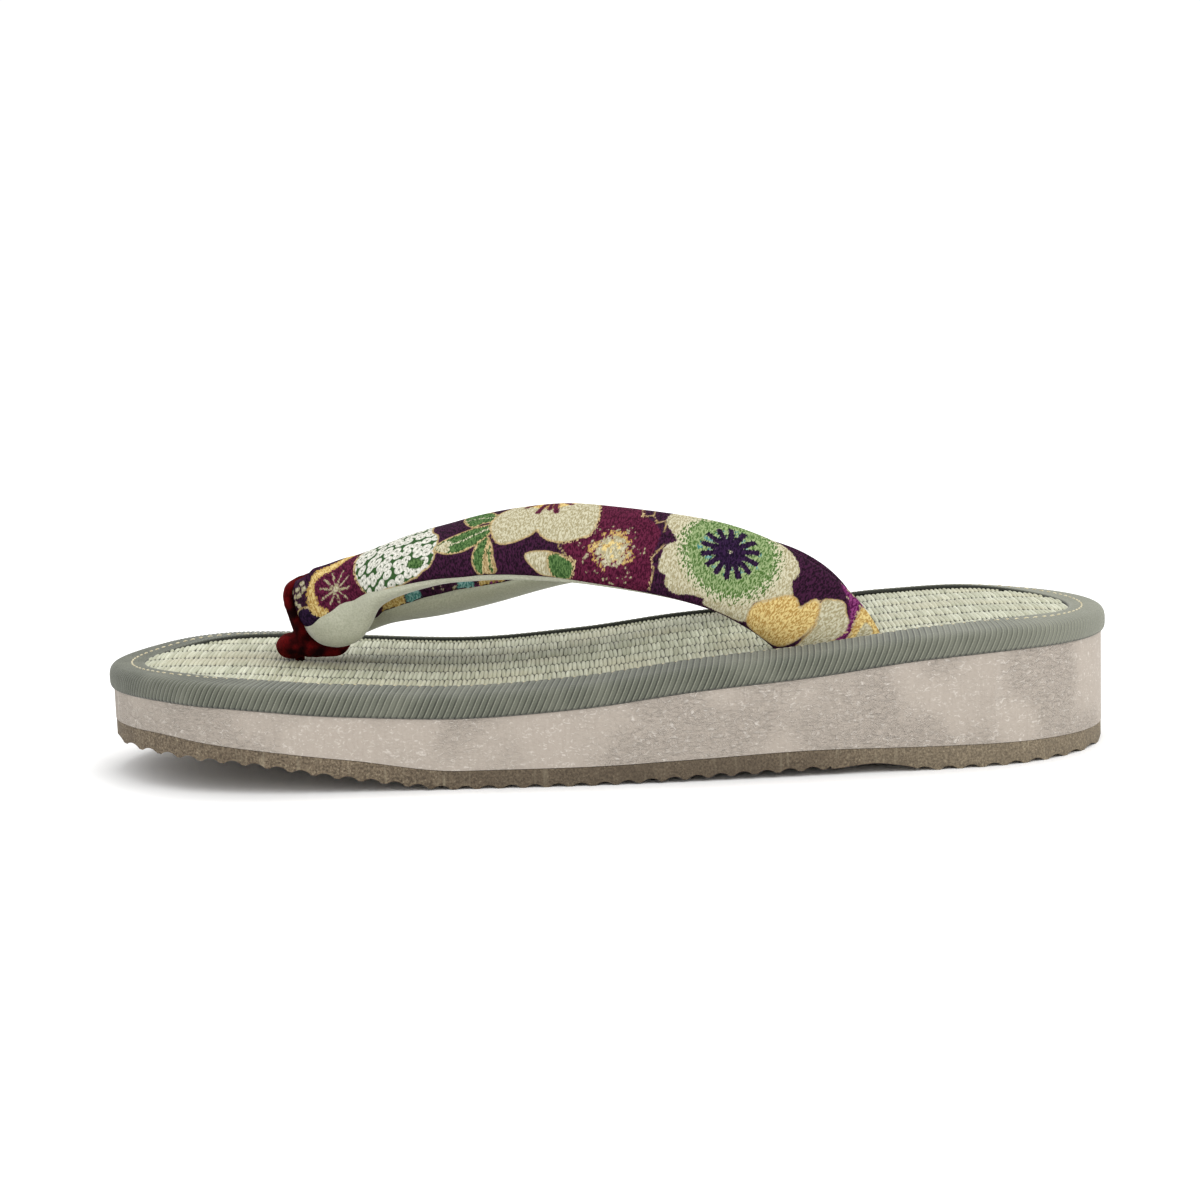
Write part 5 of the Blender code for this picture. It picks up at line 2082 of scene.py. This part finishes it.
@dataclass
class ToeLoop:
    """Velvet loop round the strap's nose, the lump of its knot on the mat, and its post."""

    last: Last
    strap: Strap
    radius: float = 0.0016
    lump: tuple[float, float, float] = (0.0080, 0.0088, 0.0062)
    lump_at: tuple[float, float] = (-0.205, 0.150)
    post_radius: float = 0.0012
    post_depth: float = 0.0085
    post_at: float = -0.160
    post_aside: float = 0.0012
    hole_play: float = 0.0003
    hole_above: float = 0.0040
    rush_grip: float = 0.0002  # how far the mat's strands reach into the post
    voxel: float = 0.00028
    dent: float = 0.00012
    centre: tuple[tuple[float, ...], ...] = (
        (-0.155, 0.140, 1.00, 1.90), (-0.132, 0.256, 1.25, 2.00), (-0.163, 0.356, 1.10, 2.00),
        (-0.200, 0.448, 0.88, 2.00), (-0.221, 0.510, 0.78, 2.00), (-0.219, 0.570, 0.78, 1.90),
        (-0.205, 0.608, 0.76, 1.80), (-0.168, 0.638, 0.75, 1.70), (-0.100, 0.668, 0.72, 1.40),
        (-0.020, 0.684, 0.75, 1.15), (0.095, 0.640, 0.88, 0.90), (0.172, 0.535, 0.84, 0.84), (0.186, 0.380, 0.86, 0.86),
        (0.200, 0.250, 0.90, 0.95), (0.196, 0.150, 0.98, 1.30), (0.140, 0.112, 1.05, 1.60),
        (0.030, 0.115, 1.25, 1.80), (-0.085, 0.132, 1.55, 1.90),
    )
    finish: Velvet = field(default_factory=Velvet)

    def base(self) -> float:
        """Height of the mat under the nose."""
        return float(self.last.mat_top(np.array([self.strap.nose]))[0])

    def ring(self) -> Piece:
        """Models the loop itself, a padded band closed on itself.

        Returns:
            The ring.
        """
        rows = np.array(self.centre)
        count, per = len(rows), 12
        u = (np.arange(per) / per)[:, None]
        path = []
        for i in range(count):
            p0, p1, p2, p3 = (rows[(i + k) % count] for k in (-1, 0, 1, 2))
            curve = 2 * p1 + (p2 - p0) * u + (2 * p0 - 5 * p1 + 4 * p2 - p3) * u**2
            curve = (curve + (3 * p1 - p0 - 3 * p2 + p3) * u**3) / 2
            path.append(np.hstack([curve[:, :2], p1[2:] + (p2[2:] - p1[2:]) * u]))
        path = np.vstack(path)
        total, sides = len(path), 20
        rise = self.strap.rise
        ahead_of, over = self.strap.nose + path[:, 0] * rise, self.base() + path[:, 1] * rise
        place = np.stack([ahead_of, np.zeros(total), over], axis=1)
        ahead = unit(np.roll(place, -1, axis=0) - np.roll(place, 1, axis=0))
        out = np.cross(ahead, (0.0, 1.0, 0.0))
        thing = add_cloth("velvet_loop", total, sides)
        row, col = squares_of(thing, total, sides)
        row, turn = row % total, col / sides * 2 * math.pi
        broad = (path[row, 3] * self.radius * np.cos(turn))[:, None] * np.array([[0.0, 1.0, 0.0]])
        move_points(thing, place[row] + broad + out[row] * (path[row, 2] * self.radius * np.sin(turn))[:, None])
        close_up(thing)
        return thing

    def post(self, radius: float, above: float, below: float, name: str) -> Piece:
        """Models the post, or the hole for it, from above the mat to below it.

        Args:
            radius: Its radius.
            above: How far it stands over the mat.
            below: How far it reaches below the mat's face.
            name: Its name.

        Returns:
            The post.
        """
        x = self.post_x()
        level = float(self.last.mat_top(np.array([x]))[0])
        bpy.ops.object.select_all(action="DESELECT")
        place = (x, self.post_aside, level + (above - below) / 2)
        bpy.ops.mesh.primitive_cylinder_add(vertices=32, radius=radius, depth=above + below, location=place)
        thing = name_piece(bpy.context.object, name)
        bpy.ops.object.transform_apply(location=True, rotation=True, scale=True)
        return thing

    def post_x(self) -> float:
        """Where the post stands along the sandal."""
        return self.strap.nose + self.post_at * self.strap.rise

    def hole(self) -> Piece:
        """The hole that the post goes through.

        Returns:
            The cutter.
        """
        grown, deep = self.post_radius + self.hole_play, self.post_depth + self.hole_play
        return self.post(grown, self.hole_above, deep, "post_hole")

    def covers(self, points: Array) -> Array:
        """Whether each point lies in the post, but for its rim that the rush grips.

        Args:
            points: Rows of x, y, z.

        Returns:
            True for each covered point.
        """
        away = np.hypot(points[:, 0] - self.post_x(), points[:, 1] - self.post_aside)
        return away < self.post_radius - self.rush_grip

    def knot(self) -> Piece:
        """Models the lump that lies on the mat in front of the loop.

        Returns:
            The lump.
        """
        along, over = (share * self.strap.rise for share in self.lump_at)
        place = (self.strap.nose + along, 0.0, self.base() + over)
        bpy.ops.object.select_all(action="DESELECT")
        bpy.ops.mesh.primitive_uv_sphere_add(segments=32, ring_count=20, radius=0.5, location=place, scale=self.lump)
        thing = name_piece(bpy.context.object, "knot")
        bpy.ops.object.transform_apply(location=True, rotation=True, scale=True)
        return thing

    def build(self) -> Piece:
        """Models and dresses the loop.

        Returns:
            The loop.
        """
        post = self.post(self.post_radius, self.lump[2] / 2, self.post_depth, "post")
        thing = join([self.ring(), self.knot(), post])
        apply_modifier(thing, "REMESH", mode="VOXEL", voxel_size=self.voxel, use_smooth_shade=True)
        apply_modifier(thing, "SMOOTH", factor=0.5, iterations=4)
        self.crumple(thing)
        smooth_shading(thing, 80.0)
        thing.data.materials.append(self.finish.make())
        return finish_piece(thing, ["toe_loop"])

    def crumple(self, thing: Piece) -> None:
        """Presses the small soft dents of gathered velvet into the loop.

        Args:
            thing: The loop.
        """
        for vert in thing.data.vertices:
            dent = noise.noise(vert.co / 0.0016) + 0.5 * noise.noise(vert.co / 0.0007)
            vert.co += vert.normal * self.dent * (dent - 0.6)


# ---- studio ----


@dataclass
class Studio:
    """White floor, soft light and the camera at the photograph's place."""

    distance: float = 0.520
    elevation: float = 7.94
    azimuth: float = 0.55
    roll: float = 1.89
    lens: float = 66.96
    aim: tuple[float, float, float] = (0.0, 0.0, 0.015)
    across: float = 0.00193
    upwards: float = -0.01922
    finish: PaleFloor = field(default_factory=PaleFloor)

    def camera(self) -> None:
        """Places the camera."""
        el, az, roll = (math.radians(a) for a in (self.elevation, self.azimuth, self.roll))
        ahead = Vector((math.sin(az) * math.cos(el), math.cos(az) * math.cos(el), -math.sin(el)))
        right = Vector((math.cos(az), -math.sin(az), 0))
        above = right.cross(ahead)
        turned = right * math.cos(roll) - above * math.sin(roll)
        upright = right * math.sin(roll) + above * math.cos(roll)
        place = Vector(self.aim) - ahead * self.distance - turned * self.across - upright * self.upwards
        lens = bpy.data.cameras.new("camera")
        lens.lens, lens.sensor_width, lens.clip_start = self.lens, 36.0, 0.01
        camera = bpy.data.objects.new("camera", lens)
        bpy.context.scene.collection.objects.link(camera)
        camera.matrix_world = Matrix.Translation(place) @ Matrix((turned, upright, -ahead)).transposed().to_4x4()
        bpy.context.scene.camera = camera

    def floor(self) -> None:
        """Lays the floor."""
        bpy.ops.object.select_all(action="DESELECT")
        bpy.ops.mesh.primitive_plane_add(size=12.0, location=(0, 0, 0))
        sheet = name_piece(bpy.context.object, "floor")
        sheet.data.materials.append(self.finish.make())

    def lights(self) -> None:
        """Hangs the soft boxes and sets the white surround."""
        world = bpy.data.worlds.new("studio")
        world.use_nodes = True
        world.node_tree.nodes["Background"].inputs["Color"].default_value = linear("#ffffff")
        world.node_tree.nodes["Background"].inputs["Strength"].default_value = 1.06
        bpy.context.scene.world = world
        for name, place, size, power in (
            ("key", (0.7, -0.8, 1.1), 0.9, 8.0),
            ("top", (0.1, 0.6, 1.5), 1.0, 8.0),
        ):
            lamp = bpy.data.lights.new(name, "AREA")
            lamp.size, lamp.energy = size, power
            light = bpy.data.objects.new(name, lamp)
            bpy.context.scene.collection.objects.link(light)
            aim = Vector((0, 0, 0.02)) - Vector(place)
            light.matrix_world = Matrix.Translation(place) @ aim.to_track_quat("-Z", "Y").to_matrix().to_4x4()
        bpy.context.scene.view_settings.view_transform = "Standard"

    def build(self) -> None:
        """Sets up the whole studio."""
        self.camera()
        self.floor()
        self.lights()


def report(thing: Piece) -> None:
    """Logs one finished piece."""
    LOG.info("%s: %d faces", thing.name, len(thing.data.polygons))


def main() -> None:
    """Builds and dresses the sandal, piece by piece."""
    logging.basicConfig(level=logging.INFO)
    last = Last()
    strap = Strap(last)
    loop = ToeLoop(last, strap)
    Studio().build()
    cutters = [strap.cutter(side) for side in Side]
    cutters.append(loop.hole())

    def hole(points: Array) -> Array:
        """Whether points lie where the strap or the post goes through the mat."""
        return strap.covers(points, strap.mat_play) | loop.covers(points)

    report(Tread(last).build())
    report(Wedge(last).build(cutters))
    report(WovenMat(last, strap).build(cutters, hole))
    braid = EdgeBraid(last)
    report(braid.build())
    report(EdgeStitches(last, braid).build())
    report(strap.build())
    report(loop.build())
    for cutter in cutters:
        bpy.data.objects.remove(cutter, do_unlink=True)


if __name__ == "__main__":
    main()
